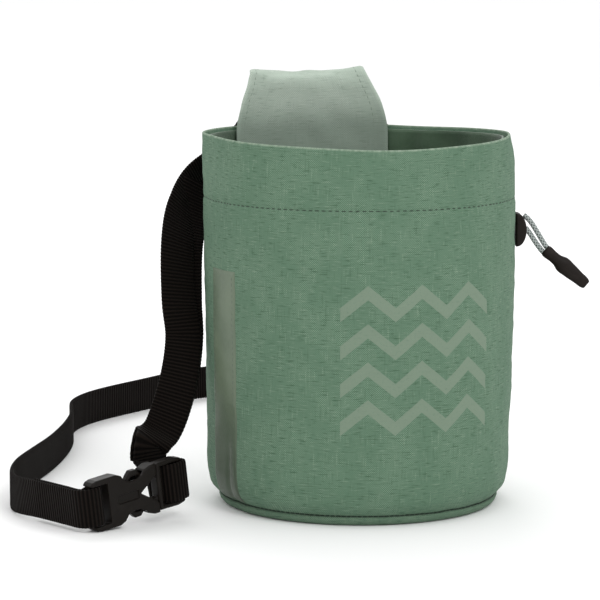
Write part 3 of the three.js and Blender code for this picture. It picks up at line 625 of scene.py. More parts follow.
def print_and_rim_highlight(shade, color, relief):
    """Stacked zigzag bands of matt ink on the front, and a painted highlight along the rim's top edge.
    """
    u, v = shade.uv()
    middle = ((PRINT_AT - LOOP_AT) % 360) * math.radians(1) * BAG_RADIUS * MM
    x = shade.math("SUBTRACT", u, middle)
    y = shade.math("SUBTRACT", v, PRINT_UP * MM)
    period = 2 * PRINT_HALF_WIDTH * MM / 3
    peak = shade.math("PINGPONG", shade.math("ADD", x, PRINT_HALF_WIDTH * MM), period / 2)
    level = shade.times_add(peak, -0.8, y)
    level = shade.math("ADD", level, 0.8 * period / 4)
    spacing = 2 * PRINT_HALF_HEIGHT * MM / 4
    band = shade.math("PINGPONG", shade.math("ADD", level, PRINT_HALF_HEIGHT * MM), spacing / 2)
    stroke = PRINT_STROKE * MM
    inside = shade.ramp(band, spacing / 2 - stroke - 0.0002, spacing / 2 - stroke + 0.0002)
    for value, reach in ((x, PRINT_HALF_WIDTH), (level, PRINT_HALF_HEIGHT)):
        inside = shade.times(inside, shade.math("LESS_THAN", shade.math("ABSOLUTE", value), reach * MM))
    wear = shade.ramp(shade.noise(u, v, 900, 900, 3.0, 7.0), 0.3, 0.5, 0.72, 0.9)
    color = shade.mix(shade.times(inside, wear), color, linear(115, 131, 114))
    relief = shade.times(relief, shade.times_add(inside, -0.75, 1.0))
    relief = shade.times_add(inside, 0.35, relief)
    # Painted highlight: the rim's top edge is paler, broken up by noise
    rim = shade.ramp(v, (BAG_HEIGHT - 1.0) * MM, (BAG_HEIGHT - 0.25) * MM)
    wear_and_highlight = shade.ramp(shade.noise(u, v, 420, 200, 3.0, 12.0), 0.35, 0.65, 0.15, 0.6)
    color = shade.mix(shade.times(rim, wear_and_highlight), color, linear(165, 178, 160))
    return color, relief


def painted_shade_in_mouth(shade, color, relief):
    """Painted shade: the loop's cloth is greyer and darker low inside the mouth, where the front wall
    shades it.
    """
    split = shade.node("ShaderNodeSeparateXYZ")
    shade.plug(shade.place(), split.inputs[0])
    # Painted shade, growing from 168 mm down to 152 mm high
    low = shade.ramp(split.outputs[2], 0.168, 0.152, 0.0, 0.62)
    return shade.mix(low, color, linear(104, 120, 107)), relief


def lining_cloth():
    shade = Shade("lining_cloth", linear(76, 107, 84), 0.62)
    u, v = shade.uv()
    threads = shade.times(shade.sine(shade.times(u, math.tau / LINING_THREAD)),
                         shade.sine(shade.times(v, math.tau / LINING_THREAD)))
    patches = shade.noise(u, v, 30, 30, 3.0, 2.0)
    shade.color(shade.mix(shade.ramp(patches, 0.35, 0.65), linear(48, 72, 50), linear(65, 90, 66)))
    dust = shade.noise(u, v, 600, 600, 3.0, 4.0)
    relief = shade.times_add(threads, 0.3, dust)
    shade.bump(relief, 0.00012, 0.6)
    shade.roughness(shade.ramp(dust, 0.3, 0.7, 0.55, 0.72))
    shade.set("Sheen Weight", 0.2)
    return shade.material


def webbing_cloth():
    """Ribbed webbing: ribs across, with fine yarns along."""
    shade = Shade("webbing_cloth", linear(24, 20, 18), 0.6)
    u, v = shade.uv()
    rib = shade.math("COSINE", shade.times(u, math.tau / (RIB_PITCH * MM)))
    yarn = shade.sine(shade.times(v, math.tau / YARN_PITCH))
    fuzz = shade.noise(u, v, 2600, 1200, 2.0, 4.0)
    body = shade.mix(shade.ramp(rib, -0.6, 0.9), linear(7, 5, 4), linear(23, 18, 15))
    shade.color(shade.mix(shade.ramp(fuzz, 0.62, 0.8, 0.0, 0.2), body, linear(48, 41, 35)))
    relief = shade.times_add(yarn, 0.22, rib)
    relief = shade.times_add(fuzz, 0.5, relief)
    shade.bump(relief, 0.00014, 0.9)
    shade.roughness(shade.ramp(rib, -1, 1, 0.8, 0.55))
    shade.set("Sheen Weight", 0.02)
    shade.set("Specular IOR Level", 0.04)
    return shade.material


def moulded_plastic(name, color, rough_low, rough_high, grain=2600):
    shade = Shade(name, color, rough_low)
    grainy = shade.solid_noise(grain)
    wear_and_highlight = shade.solid_noise(160, 3.0)
    pale = tuple(min(1, c * 1.9 + 0.004) for c in color)
    shade.color(shade.mix(shade.ramp(wear_and_highlight, 0.55, 0.8, 0.0, 0.6), color, pale))
    shade.roughness(shade.ramp(wear_and_highlight, 0.3, 0.7, rough_low, rough_high))
    shade.bump(grainy, 0.00003, 0.6)
    shade.set("Specular IOR Level", 0.13)
    return shade.material


def cord_cloth():
    """Round braid: yarns that cross both ways round the cord."""
    shade = Shade("cord_cloth", linear(120, 134, 136), 0.7)
    u, v = shade.uv()
    along = shade.times(u, math.tau / BRAID_PITCH)
    left = shade.sine(shade.times_add(v, 4 * math.tau, along))
    right = shade.sine(shade.times_add(v, -4 * math.tau, along))
    braid = shade.math("MAXIMUM", left, right)
    shade.color(shade.mix(shade.ramp(braid, -0.2, 0.9), linear(92, 99, 99), linear(172, 179, 176)))
    shade.bump(braid, 0.00018, 1.0)
    return shade.material


def thread(name, color):
    shade = Shade(name, color, 0.7)
    twist = shade.solid_noise(3200)
    shade.color(shade.mix(shade.ramp(twist, 0.35, 0.65), tuple(c * 0.75 for c in color), color))
    shade.bump(twist, 0.00005, 0.8)
    return shade.material


def strip_cloth():
    """Smooth coated tape with a fine grain along it, and painted shade towards its bottom."""
    shade = Shade("strip_cloth", linear(112, 124, 106), 0.42)
    u, v = shade.uv()
    grain = shade.noise(u, v, 2400, 500, 2.0, 6.0)
    broad = shade.noise(u, v, 60, 30, 2.0, 8.0)
    tape = shade.mix(shade.ramp(broad, 0.3, 0.7), linear(86, 101, 82), linear(98, 112, 91))
    # Painted shade: the tape darkens towards the foot of the bag, where the wall curves in away from the
    # light
    painted_shade_low = shade.ramp(v, 0.07, 0.012, 0.0, 0.9)
    shade.color(shade.mix(painted_shade_low, tape, linear(54, 68, 51)))
    shade.roughness(shade.ramp(grain, 0.3, 0.7, 0.38, 0.52))
    shade.bump(grain, 0.00006, 0.6)
    return shade.material


SAGE = slub_cloth("sage_cloth", linear(60, 87, 66), linear(90, 118, 97), linear(127, 150, 129), 0.82,
                  extra=print_and_rim_highlight)
BASE_SAGE = slub_cloth("base_cloth", linear(60, 84, 66), linear(90, 115, 95), linear(122, 142, 122),
                       0.85)
PALE = slub_cloth("pale_cloth", linear(140, 154, 141), linear(172, 186, 173), linear(197, 207, 196), 0.8,
                  contrast=0.8, extra=painted_shade_in_mouth)
LINING = lining_cloth()
WEBBING = webbing_cloth()
BLACK = moulded_plastic("black_plastic", linear(18, 14, 11), 0.28, 0.42)
RUBBER = moulded_plastic("black_rubber", linear(27, 22, 19), 0.42, 0.56, 1500)
CORD = cord_cloth()
STRIP = strip_cloth()
DARK_THREAD = thread("dark_thread", linear(38, 56, 42))
BLACK_THREAD = thread("black_thread", linear(22, 19, 18))
PALE_THREAD = thread("pale_thread", linear(136, 152, 137))
STRIP_THREAD = thread("strip_thread", linear(88, 102, 86))


def dress(obj, material, slot, *nodes):
    """Gives a piece its material and its body, and hides the nodes it stands for. The slot is not used.
    """
    obj.data.materials.clear()
    obj.data.materials.append(material)
    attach(obj, "root")
    if nodes:
        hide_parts(*nodes)
    return obj


# The bag's wall
PROFILE_UP, PROFILE_OUT = zip(*WALL_PROFILE)
HEM_UP = 1 - HEM_DEPTH / BAG_HEIGHT
FOOT_UP = (BASE_RISE + CLOTH_GAP) / BAG_HEIGHT


def folded(table, angle, up):
    total = np.zeros(np.broadcast(angle, up).shape)
    for row in table:
        drift = row[5] * (up - row[1]) if len(row) > 5 else 0
        across = turn_between(angle, row[0] + drift)
        total += row[4] * BAG_RADIUS * bump(across, row[2]) * bump(up - row[1], row[3])
    return total


def wall_radius(angle, up):
    across = np.sin(np.radians(angle - MOUTH_LONG_AXIS)) ** 2
    flattened = MOUTH_FLATTENING * across * np.clip(up, 0, 1) ** 4
    rounded = BAG_RADIUS * smooth_column(PROFILE_UP, PROFILE_OUT, np.clip(up, 0.028, 1))
    return rounded - flattened + folded(WALL_DENTS, angle, up)


def rim_lift(angle):
    return BAG_HEIGHT * sum(rise * bump(turn_between(angle, at), wide) for at, wide, rise in RIM_WAVES)


def wall_height(angle, up):
    return up * BAG_HEIGHT + rim_lift(angle) * smooth_step(0.84, 1, up)


def wall_relief(angle, up):
    """The small softness of the outer cloth: ripples, the hem's groove and the creases near the base."""
    x = np.radians(angle) * BAG_RADIUS
    z = up * BAG_HEIGHT
    soft = 0.1 * ripples(x, z, 4, 46, 14) + 0.05 * ripples(x * 0.6, z * 1.6, 9, 16, 6)
    pucker = 0.12 * np.cos(math.tau * x / 9.2 + 1.1 * np.sin(x / 17)) * bump(up - HEM_UP, 0.03)
    groove = -0.3 * bump(up - HEM_UP, 0.006)
    hem = 0.08 * smooth_step(HEM_UP, HEM_UP + 0.02, up)
    crease = -0.9 * bump(turn_between(angle, 191 + 14 * (up - 0.1)), 1.6) * bump(up - 0.1, 0.09)
    gather = -0.55 * bump(turn_between(angle, 290 + 90 * (up - 0.05)), 3.2) * bump(up - 0.035, 0.035)
    tuck = -0.3 * bump(up - FOOT_UP, 0.01)
    top = 1 - smooth_step(0.96, 1, up)
    return (soft + pucker) * top + groove + hem + crease + gather + tuck


def wall_points(angle, up, inset=0.0):
    radius = wall_radius(angle, up) + wall_relief(angle, up) - inset
    return polar(radius, angle, wall_height(angle, up))


def make_wall():
    columns = 360
    angles = LOOP_AT + np.arange(columns + 1) * 360 / columns
    rim_thickness = WALL_THICKNESS + HEM_THICKENING
    half = RIM_FOLD / 2
    rows = [(FOOT_UP + 0.004, WALL_THICKNESS), (FOOT_UP - 0.001, 1.0), (FOOT_UP - 0.0005, 0.5)]
    fold = 1 - half / BAG_HEIGHT
    for span in ((FOOT_UP + 0.002, HEM_UP - 0.03, 84), (HEM_UP - 0.027, HEM_UP + 0.03, 26),
                 (HEM_UP + 0.035, fold, 22)):
        rows += [(up, 0.0) for up in np.linspace(*span)]
    for turn in (30, 60, 90, 120, 150, 180):
        a = math.radians(turn)
        rows.append((1 - half / BAG_HEIGHT * (1 - math.sin(a)), half * (1 - math.cos(a))))
    rows += [(up, rim_thickness) for up in np.linspace(0.965, HEM_UP + 0.01, 8)]
    rows += [(up, WALL_THICKNESS) for up in np.linspace(HEM_UP - 0.01, FOOT_UP + 0.01, 14)]
    ups, insets = np.array(rows).T[..., None]
    grid = wall_points(angles, ups, insets)
    us = np.radians(angles - LOOP_AT) * BAG_RADIUS * MM
    vs = ups * BAG_HEIGHT * MM
    return grid_object("bag_wall_cloth", grid[:, :-1], us, vs, ring=True)


dress(make_wall(), SAGE, "sage_fabric", "bag_wall")


# The base
def make_base():
    columns = 240
    angles = np.arange(columns + 1) * 360 / columns
    edge = BAG_RADIUS * PROFILE_OUT[0]
    inner = edge - WALL_THICKNESS
    section = [(share * edge, 0.0) for share in (0.05, 0.3, 0.6, 0.85)]
    section += [(edge - inward * BASE_RISE, up * BASE_RISE) for inward, up in BASE_EDGE]
    section += [(inner, BASE_RISE), (inner - 0.4 * BASE_RISE, BASE_THICKNESS)]
    section += [(share * edge, BASE_THICKNESS) for share in (0.6, 0.05)]
    radius, height = np.array(section).T[..., None]
    x = np.radians(angles) * BAG_RADIUS
    lively = smooth_step(0.1, 0.8, height / BASE_RISE) * (radius > 0.9 * edge)
    swell = 0.07 * np.cos(math.tau * x / 8.3 + np.sin(x / 11)) * lively
    dents = folded(WALL_DENTS, angles, FOOT_UP) * (radius > 0.9 * edge)
    grid = polar(radius + swell + dents * 0.7, angles, height)
    flat = polar(radius, angles, height)
    side = (height > 0.3) & (radius > 0.9 * edge)
    us = np.where(side, x * MM, flat[..., 0] * MM)
    vs = np.where(side, height * MM, flat[..., 1] * MM)
    return grid_object("base_cloth", grid[:, :-1], us, vs)


dress(make_base(), BASE_SAGE, "sage_fabric", "base_panel")


# The lining
def lining_radius(angle, up):
    in_hem = np.clip((up - HEM_UP) / (2 * SEAM_SHARE) + 0.5, 0, 1)
    shell = wall_radius(angle, up) - WALL_THICKNESS - in_hem * HEM_THICKENING
    return shell - CLOTH_GAP - np.maximum(0, folded(LINING_FOLDS, angle, up))


def make_lining():
    columns = 300
    angles = LOOP_AT + np.arange(columns + 1) * 360 / columns
    floor = BASE_THICKNESS + CLOTH_GAP
    ups = np.linspace(0.06, 1, 110)[:, None]
    x = np.radians(angles) * BAG_RADIUS
    z = ups * BAG_HEIGHT
    soft = np.maximum(-0.2, 0.35 * ripples(x, z * 0.45, 14, 34, 9)) * smooth_step(0.08, 0.3, ups)
    soft = soft * (1 - smooth_step(0.93, 1, ups)) + 0.12
    outer = lining_radius(angles, ups) - np.maximum(0, soft)
    height = wall_height(angles, ups) - LINING_DROP * smooth_step(0.9, 1, ups)
    foot = BAG_RADIUS * PROFILE_OUT[0] - 2 * WALL_THICKNESS - BASE_RISE
    outside = polar(outer, angles, height)
    inside = polar(outer - LINING_THICKNESS, angles, height)
    under = polar(np.array([[2.0], [foot]]), angles, floor)
    over = polar(np.array([[foot], [foot * 0.6], [2.0]]), angles, floor + LINING_THICKNESS)
    grid = np.vstack([under, outside, inside[::-1], over])
    lengths = distances(grid[:, 0])
    us = np.radians(angles - LOOP_AT) * BAG_RADIUS * MM
    return grid_object("lining_cloth", grid[:, :-1], us, lengths[:, None] * MM)


dress(make_lining(), LINING, "lining_fabric", "lining")


# The belt loop
NEAR_RIM = np.array([HEM_UP - SEAM_SHARE, HEM_UP, 0.86, 0.9, 0.95, 1])[:, None]


def widest_near_rim(angle):
    return wall_radius(np.atleast_1d(angle)[None, :], NEAR_RIM).max(axis=0)


def narrowest_near_rim(angle):
    return (lining_radius(np.atleast_1d(angle)[None, :], NEAR_RIM) - LINING_THICKNESS).min(axis=0)


def belt_seat_radius(angle):
    return widest_near_rim(angle) + WEB_GAP + WEB_THICKNESS / 2


def loop_radius(lane, angle, z):
    up = np.minimum(1, z / BAG_HEIGHT)
    inner = narrowest_near_rim(angle) - CLOTH_GAP - LOOP_THICKNESS
    over = belt_seat_radius(angle) + WEB_THICKNESS / 2 + 3.5 * WEB_GAP
    on_wall = wall_radius(angle, up) + CLOTH_GAP
    if lane <= 1:
        return inner + (over - inner) * lane
    return over + (on_wall - over) * (lane - 1)


def make_loop():
    columns = 56
    sides = np.linspace(-1, 1, columns + 1)
    table = np.array(LOOP_PATH, float)
    rows = 110
    at = np.linspace(0, len(table) - 1, rows)
    lane, rise, half, shift, dip = [smooth_column(np.arange(len(table)), line, at) for line in table.T]
    lane = np.clip(lane, 0, 2)
    middle = []
    for i in range(rows):
        z = BAG_HEIGHT + rise[i] * LOOP_RISE - (1 - sides**2) * dip[i] * LOOP_DIP
        across = (sides * half[i] + shift[i]) * LOOP_WIDTH
        centre = loop_radius(lane[i], np.array([LOOP_AT]), z[columns // 2:columns // 2 + 1])
        angle = LOOP_AT - np.degrees(np.arcsin(across / (centre + LOOP_THICKNESS / 2)))
        middle.append(polar(loop_radius(lane[i], angle, z) + LOOP_THICKNESS / 2, angle, z))
    middle = np.array(middle)
    along = unit(np.gradient(middle, axis=0))
    across = unit(np.gradient(middle, axis=1))
    normal = unit(np.cross(along, across))
    wave = 0.16 * ripples(middle[..., 0], middle[..., 2] + 40 * lane[:, None], 21, 30, 10)
    free = smooth_step(-0.9, -0.2, rise)[:, None]
    middle = middle + normal * (wave * free)[..., None]
    thin = 1 - 0.75 * smooth_step(0.965, 1, np.abs(sides))[None, :, None]
    front = middle + normal * LOOP_THICKNESS / 2 * thin
    back = middle - normal * LOOP_THICKNESS / 2 * thin
    grid = np.concatenate([front, back[:, ::-1]], axis=1)
    lengths = distances(middle[:, columns // 2])
    width = sides * LOOP_WIDTH * 0.45
    us = there_and_back(width) * MM
    obj = grid_object("belt_loop_cloth", grid, us, lengths[:, None] * MM)
    return obj, middle, normal


loop_object, loop_middle, loop_normal = make_loop()
dress(loop_object, PALE, "pale_fabric", "belt_loop")


# The buckle's frame
def buckle_matrix():
    length = SOCKET_LENGTH + MOULDED_GAP + PLUG_BASE_LENGTH
    rest = BUCKLE_WIDTH / 2 - 0.1 * SOCKET_LENGTH * math.sin(math.radians(BUCKLE_TILT))
    tilted = length * math.cos(math.radians(BUCKLE_TILT))
    start = polar(BAG_RADIUS + BUCKLE_WALL_GAP, BUCKLE_AT, rest) - polar(tilted, BUCKLE_TURN, 0)
    turned = Matrix.Rotation(math.radians(BUCKLE_TURN), 4, "Z")
    raised = Matrix.Rotation(-math.radians(BUCKLE_TILT), 4, "Y")
    return Matrix.Translation(Vector(start)) @ turned @ raised


BUCKLE = np.array(buckle_matrix())


def in_buckle(points):
    points = np.asarray(points, float)
    return points @ BUCKLE[:3, :3].T + BUCKLE[:3, 3]


def buckle_station(x, y, z, lean):
    return in_buckle([x, y, z]), unit(BUCKLE[:3, :3] @ direction(180, lean))


# The belt
WRAP_RADIUS = WEB_BAR / 2 + WEB_GAP + WEB_THICKNESS / 2 + 0.4
LAYER = WEB_THICKNESS + WEB_GAP
PLUG_START = SOCKET_LENGTH + MOULDED_GAP
PLUG_END = PLUG_START + PLUG_BASE_LENGTH


def beside(path, distance):
    path = np.asarray(path, float)
    moved = []
    for i, (x, y) in enumerate(path):
        before = path[max(0, i - 1)]
        after = path[min(len(path) - 1, i + 1)]
        step = (after - before) / np.linalg.norm(after - before)
        moved.append((x + step[1] * distance, y - step[0] * distance))
    return moved


def socket_wrap():
    lead = [(x * WEB_WIDTH, y * WEB_WIDTH) for x, y in LEAD]
    middle = WEB_BAR - WRAP_RADIUS / 3
    curve = [
        (middle, WRAP_RADIUS),
        (middle + 1.05 * WRAP_RADIUS, 0.74 * WRAP_RADIUS),
        (middle + 1.36 * WRAP_RADIUS, 0),
        (middle + 1.05 * WRAP_RADIUS, -0.74 * WRAP_RADIUS),
        (middle, -WRAP_RADIUS),
    ]
    sewn = beside(lead[1:], LAYER)[::-1]
    return [buckle_station(x, y, 0, 90) for x, y in [*sewn, *curve, *lead]]


def lying_run():
    z = WEB_WIDTH / 2 + FLOOR_GAP
    wide = np.array([0.0, 0, 1])
    return [(polar(BAG_RADIUS + out * LYING_REACH, at, z), wide) for at, out in LYING_RUN]


def rising_run():
    low = WEB_WIDTH / 2 + FLOOR_GAP
    return [
        (polar(BAG_RADIUS + out * LYING_REACH, at, max(low, up * BAG_HEIGHT)), direction(turn, tilt))
        for at, out, up, turn, tilt in RISING_RUN
    ]


def arch_run():
    peak = BAG_HEIGHT + LOOP_RISE - LOOP_DIP - LOOP_THICKNESS - FOLD_ROOM - WEB_WIDTH / 2
    run = []
    for off, fall, tilt in ARCH:
        angle = LOOP_AT + off
        at = polar(belt_seat_radius(angle)[0], angle, peak - fall * LOOP_RISE)
        run.append((at, direction(angle + 90 if off > 0 else angle - 90, tilt)))
    return run


def hanging_run(table):
    near = BAG_RADIUS + WEB_WIDTH / 2
    return [
        (polar(near + out * BUCKLE_WALL_GAP, at, up * BAG_HEIGHT), direction(turn, tilt))
        for at, out, up, turn, tilt in table
    ]


def bend_stations(behind):
    back = BUCKLE_THICKNESS / 2 + behind
    return [
        buckle_station(PLUG_START + x * WEB_WIDTH, back + y * WEB_WIDTH, z * WEB_WIDTH, lean)
        for x, y, z, lean in BEND
    ]


def plug_wrap():
    back = BUCKLE_THICKNESS / 2 + WEB_THICKNESS
    middle = PLUG_END - WEB_BAR / 2
    curve = [
        (PLUG_START + 2.2, back + 1.9),
        (PLUG_START + 4.6, 0),
        (PLUG_START + 7, -WRAP_RADIUS),
        (middle, -WRAP_RADIUS),
        (middle + 0.72 * WRAP_RADIUS, -0.72 * WRAP_RADIUS),
        (middle + WRAP_RADIUS, 0),
        (middle + 0.72 * WRAP_RADIUS, 0.72 * WRAP_RADIUS),
        (middle, WRAP_RADIUS),
        (PLUG_START + 5.5, back + TAIL_SPACING),
    ]
    turned = [buckle_station(x, y, 0, 90) for x, y in curve]
    return [*bend_stations(0), *turned, *bend_stations(TAIL_SPACING)[::-1]]


def belt_stations():
    return [
        *socket_wrap(),
        *lying_run(),
        *rising_run(),
        *arch_run(),
        *hanging_run(HANGING_RUN),
        *plug_wrap(),
        *hanging_run(TAIL_RUN),
    ]


def averaged(rows, count):
    """Rows of a table, each averaged over a window of so many rows."""
    window = np.hanning(count)
    padded = np.pad(rows, ((count // 2, count // 2), (0, 0)), mode="edge")
    window /= window.sum()
    return np.stack([np.convolve(line, window, mode="valid") for line in padded.T], axis=1)


def make_belt():
    stations = belt_stations()
    curve, where = catmull([s[0] for s in stations], 40)
    at, lengths = evenly(curve, RIB_PITCH / 4)
    centre = sample(curve, at)
    wides = sample([s[1] for s in stations], sample(where[:, None], at)[:, 0])
    wides = averaged(wides, 61)
    loose = smooth_step(*EASED_FROM, lengths) * (1 - smooth_step(*EASED_TO, lengths))
    centre = centre + (averaged(centre, 75) - centre) * loose[:, None]
    along = unit(np.gradient(centre, axis=0))
    wides = unit(wides - along * (wides * along).sum(axis=1, keepdims=True))
    thick = np.cross(along, wides)
    rib = np.cos(math.tau * lengths / RIB_PITCH)[:, None]
    width = WEB_ACROSS * (WEB_WIDTH / 2) * (1 + 0.008 * rib)
    lift = WEB_LIFT * (WEB_THICKNESS / 2) * (0.94 + 0.09 * rib)
    front = centre[:, None] + wides[:, None] * width[..., None] + thick[:, None] * lift[..., None]
    back = centre[:, None] + wides[:, None] * width[..., None] - thick[:, None] * lift[..., None]
    grid = np.concatenate([front, back[:, ::-1]], axis=1)
    vs = there_and_back(WEB_ACROSS) * WEB_WIDTH / 2 * MM
    return grid_object("belt_webbing", grid, lengths[:, None] * MM, vs), centre, wides, thick


belt_object, belt_centre, belt_wide, belt_thick = make_belt()
dress(belt_object, WEBBING, "black_webbing", "belt")


# Moulded pieces, rounded from the solids
def stadium(low, high, half):
    """An outline with round ends along the buckle."""
    turns = np.linspace(-math.pi / 2, math.pi / 2, 10)
    right = [(high - half + half * math.cos(a), half * math.sin(a)) for a in turns]
    left = [(low + half - half * math.cos(a), half * math.sin(a)) for a in turns[::-1]]
    return right + left


def cutter(outline, low, high):
    """A block in the buckle's frame with an outline in x and z, from one depth to another."""
    count = len(outline)
    points = in_buckle([(x, y, z) for y in (low, high) for x, z in outline])
    faces = [list(range(count)), [count + k for k in range(count)][::-1]]
    faces += [[k, count + k, count + (k + 1) % count, (k + 1) % count] for k in range(count)]
    return outward(mesh_object("cutter", points, faces))


def rounded_copy(node, name, voxel, smoothing, cutters=()):
    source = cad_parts[node]
    obj = link(bpy.data.objects.new(name, source.data.copy()))
    obj.matrix_world = source.matrix_world
    for tool in cutters:
        cut = obj.modifiers.new("cut", "BOOLEAN")
        configure(cut, operation="DIFFERENCE", solver="EXACT", object=tool)
    configure(obj.modifiers.new("remesh", "REMESH"), mode="VOXEL", voxel_size=voxel * MM)
    configure(obj.modifiers.new("smooth", "SMOOTH"), iterations=smoothing, factor=0.5)
    graph = bpy.context.evaluated_depsgraph_get()
    mesh = bpy.data.meshes.new_from_object(obj.evaluated_get(graph))
    obj.modifiers.clear()
    obj.data = mesh
    for tool in cutters:
        bpy.data.objects.remove(tool)
    mesh.polygons.foreach_set("use_smooth", [True] * len(mesh.polygons))
    return obj


def socket_cutters():
    """The latch's round-ended slot on both faces, and the side windows over the plug's arms."""
    face = BUCKLE_THICKNESS / 2
    half = BUCKLE_WIDTH / 2
    low, high, wide = SOCKET_SLOT
    slot = stadium(low * SOCKET_LENGTH, high * SOCKET_LENGTH, wide * half)
    cutters = [cutter(slot, -face - 1, -face + SLOT_DEPTH), cutter(slot, face - SLOT_DEPTH, face + 1)]
    for side in (1, -1):
        window = [(x * SOCKET_LENGTH, side * z * half) for x, z in SOCKET_WINDOW]
        cutters.append(cutter(window, -face - 1, face + 1))
    return cutters


socket = rounded_copy("buckle_socket", "buckle_socket_moulded", 0.2, 4, socket_cutters())
dress(socket, BLACK, "black_plastic", "buckle_socket")
dress(rounded_copy("buckle_plug", "buckle_plug_moulded", 0.22, 4), BLACK, "black_plastic", "buckle_plug")
dress(rounded_copy("cord_port", "cord_port_moulded", 0.25, 8), RUBBER, "black_plastic", "cord_port")


# The drawcord
def port_matrix():
    radius = wall_radius(PORT_AT, PORT_CENTRE_UP / BAG_HEIGHT) + CLOTH_GAP
    place = Matrix.Translation(Vector(polar(radius, PORT_AT, PORT_CENTRE_UP)))
    return place @ Matrix.Rotation(math.radians(PORT_AT), 4, "Z")


PORT = np.array(port_matrix())


def in_port(points):
    points = np.asarray(points, float)
    return points @ PORT[:3, :3].T + PORT[:3, 3]


def tube(name, path, radius, sides, spacing):
    """A closed tube along a smooth path, with u along it in metres and v once round it."""
    curve, _ = catmull(path, 30)
    at, lengths = evenly(curve, spacing)
    centre = sample(curve, at)
    along = unit(np.gradient(centre, axis=0))
    up = unit(np.cross(along, [0.0, 1, 0]))
    side = np.cross(along, up)
    turns = np.linspace(0, math.tau, sides, endpoint=False)
    ring = up[:, None] * np.cos(turns)[:, None] + side[:, None] * np.sin(turns)[:, None]
    grid = centre[:, None] + ring * radius
    vs = np.linspace(0, 1, sides + 1)
    return grid_object(name, grid, lengths[:, None] * MM, vs), centre, lengths[-1]


def make_cord_end():
    start = np.array(CORD_END_START)
    along = unit(np.array(CORD_END_TIP) - start)
    thick = unit(np.array([0.0, 1, 0]) - along * along[1])
    wide = np.cross(along, thick)
    table = np.array(CORD_END_PROFILE)
    shares = np.concatenate([np.linspace(0, 0.97, 60), [0.985, 0.995, 1.0]])
    widths = smooth_column(table[:, 0], table[:, 1], shares)
    thicks = smooth_column(table[:, 0], table[:, 2], shares)
    pinch = np.where(shares > 0.985, 1 - 6 * (shares - 0.985), 1) * np.where(shares < 0.02, 0.92, 1)
    sides = 48
    power = 2.6
    turns = np.linspace(0, math.tau, sides, endpoint=False)
    squared = 1 / (np.abs(np.cos(turns)) ** power + np.abs(np.sin(turns)) ** power) ** (1 / power)
    grid = []
    for share, w, t, p in zip(shares, widths, thicks, pinch):
        centre = start + along * share * CORD_END_LENGTH
        boxy = 0.85 * smooth_step(0.35, 0.55, share)
        radius = (1 - boxy + boxy * squared) * p
        x = 0.5 * w * CORD_END_WIDTH * np.cos(turns) * radius
        y = 0.5 * t * CORD_END_THICKNESS * np.sin(turns) * radius
        grid.append(centre + wide * x[:, None] + thick * y[:, None])
    grid = in_port(np.array(grid))
    us = shares[:, None] * CORD_END_LENGTH * MM
    return grid_object("cord_end_moulded", grid, us, np.linspace(0, 0.018, sides + 1))


cord_end = dress(make_cord_end(), RUBBER, "black_rubber", "cord_end")
cord_route = in_port(CORD_ROUTE)
cord_tube, cord_path, cord_length = tube("drawcord_braid", cord_route, CORD_DIAMETER / 2, 20, 0.5)
dress(cord_tube, CORD, "grey_cord", "drawcord_upper", "drawcord_lower")


# The strip at the side
def make_strip():
    sides = np.linspace(0, 1, 25)
    angles = STRIP_FROM + (STRIP_TO - STRIP_FROM) * sides
    ups = np.linspace(FOOT_UP + 0.004, STRIP_TOP / BAG_HEIGHT, 90)[:, None]
    edge = np.minimum(1, np.minimum(sides, 1 - sides) / 0.035)
    ends = np.minimum(1, (ups - ups[0]) / 0.006) * np.minimum(1, (ups[-1] - ups) / 0.006)
    lift = 0.05 + 0.3 * np.sqrt(np.clip(edge * np.clip(ends, 0, 1), 0, 1))
    outer = wall_points(angles, ups, -lift)
    inner = wall_points(angles, ups, 0.3)
    grid = np.concatenate([outer, inner[:, ::-1]], axis=1)
    width = np.radians(angles - STRIP_FROM) * BAG_RADIUS * MM
    us = there_and_back(width)
    return grid_object("side_strip", grid, us, ups * BAG_HEIGHT * MM)


dress(make_strip(), STRIP, "sage_fabric")


# Stitching
def wall_line(angles, ups, inset=0.0):
    angles, ups = np.broadcast_arrays(angles, ups)
    return wall_points(angles, ups, inset), polar(1.0, angles, 0.0)


ROUND = np.linspace(0, 360, 720)
SEAMS = (("hem_stitches", HEM_UP, HEM_STITCH), ("base_stitches", FOOT_UP - 0.0012, BASE_STITCH))
for seam, seam_up, seam_kind in SEAMS:
    dress(stitches(seam, *wall_line(ROUND, seam_up), seam_kind), DARK_THREAD, "sage_fabric")


def loop_stitches():
    """Two lines of stitching down the loop's leaves, just inside their edges."""
    columns = loop_middle.shape[1]
    parts = []
    for side in (0.07, 0.93):
        column = int(side * (columns - 1))
        line = loop_middle[:, column]
        normals = loop_normal[:, column]
        for face in (1, -1):
            path = line + normals * face * LOOP_THICKNESS / 2
            parts.append(stitches("line", path, normals * face, LOOP_STITCH))
    return joined("loop_stitches", parts)


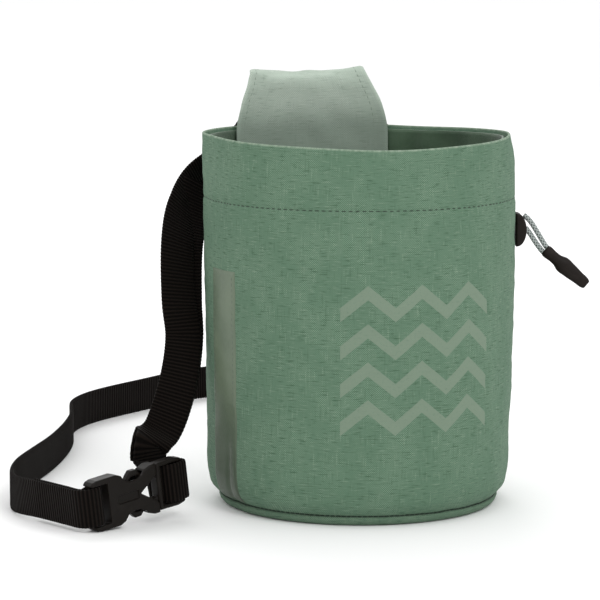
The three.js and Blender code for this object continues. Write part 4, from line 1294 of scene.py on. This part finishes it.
def belt_stitches():
    """The box of stitches that holds the belt's sewn end."""
    parts = []
    sewn = slice(4, 34)
    for across in (-0.36, 0.36):
        path = belt_centre[sewn] + belt_wide[sewn] * across * WEB_WIDTH
        for face in (1, -1):
            normals = belt_thick[sewn] * face
            lifted = path + normals * WEB_THICKNESS / 2
            parts.append(stitches("line", lifted, normals, BELT_STITCH))
    return joined("belt_stitches", parts)


def strip_stitches():
    """Tone-on-tone stitching along both edges of the side strip."""
    ups = np.linspace(FOOT_UP + 0.02, STRIP_TOP / BAG_HEIGHT - 0.012, 300)
    lines = [wall_line(angle, ups, -0.34) for angle in (STRIP_FROM + 1.6, STRIP_TO - 1.6)]
    return joined("strip_stitches", [stitches("line", *line, STRIP_STITCH) for line in lines])


dress(loop_stitches(), PALE_THREAD, "pale_fabric")
dress(belt_stitches(), BLACK_THREAD, "black_webbing")
dress(strip_stitches(), STRIP_THREAD, "sage_fabric")


# Floor and light
def make_stage():
    far = FLOOR_REACH
    points = [(-far, -far, 0), (far, -far, 0), (far, far, 0), (-far, far, 0)]
    floor = mesh_object("floor", points, [[0, 1, 2, 3]])
    shade = Shade("floor_paper", (0.93, 0.93, 0.93), 0.9)
    shade.color(shade.mix(shade.solid_noise(3), (0.92, 0.92, 0.92), (0.94, 0.94, 0.94)))
    floor.data.materials.append(shade.material)


def area_light(name, place, target, size, power):
    data = bpy.data.lights.new(name, "AREA")
    configure(data, shape="DISK", size=size, energy=power)
    light = link(bpy.data.objects.new(name, data))
    light.location = place
    aim = Vector(target) - Vector(place)
    light.rotation_euler = aim.to_track_quat("-Z", "Y").to_euler()


def make_light():
    world = bpy.data.worlds.new("studio")
    world.use_nodes = True
    sky = world.node_tree.nodes["Background"].inputs
    sky["Color"].default_value = (1, 1, 1, 1)
    sky["Strength"].default_value = WORLD_STRENGTH
    bpy.context.scene.world = world
    area_light("key", *KEY_LIGHT)
    area_light("back", *BACK_LIGHT)
    bpy.context.scene.view_settings.view_transform = "Standard"


make_stage()
make_light()
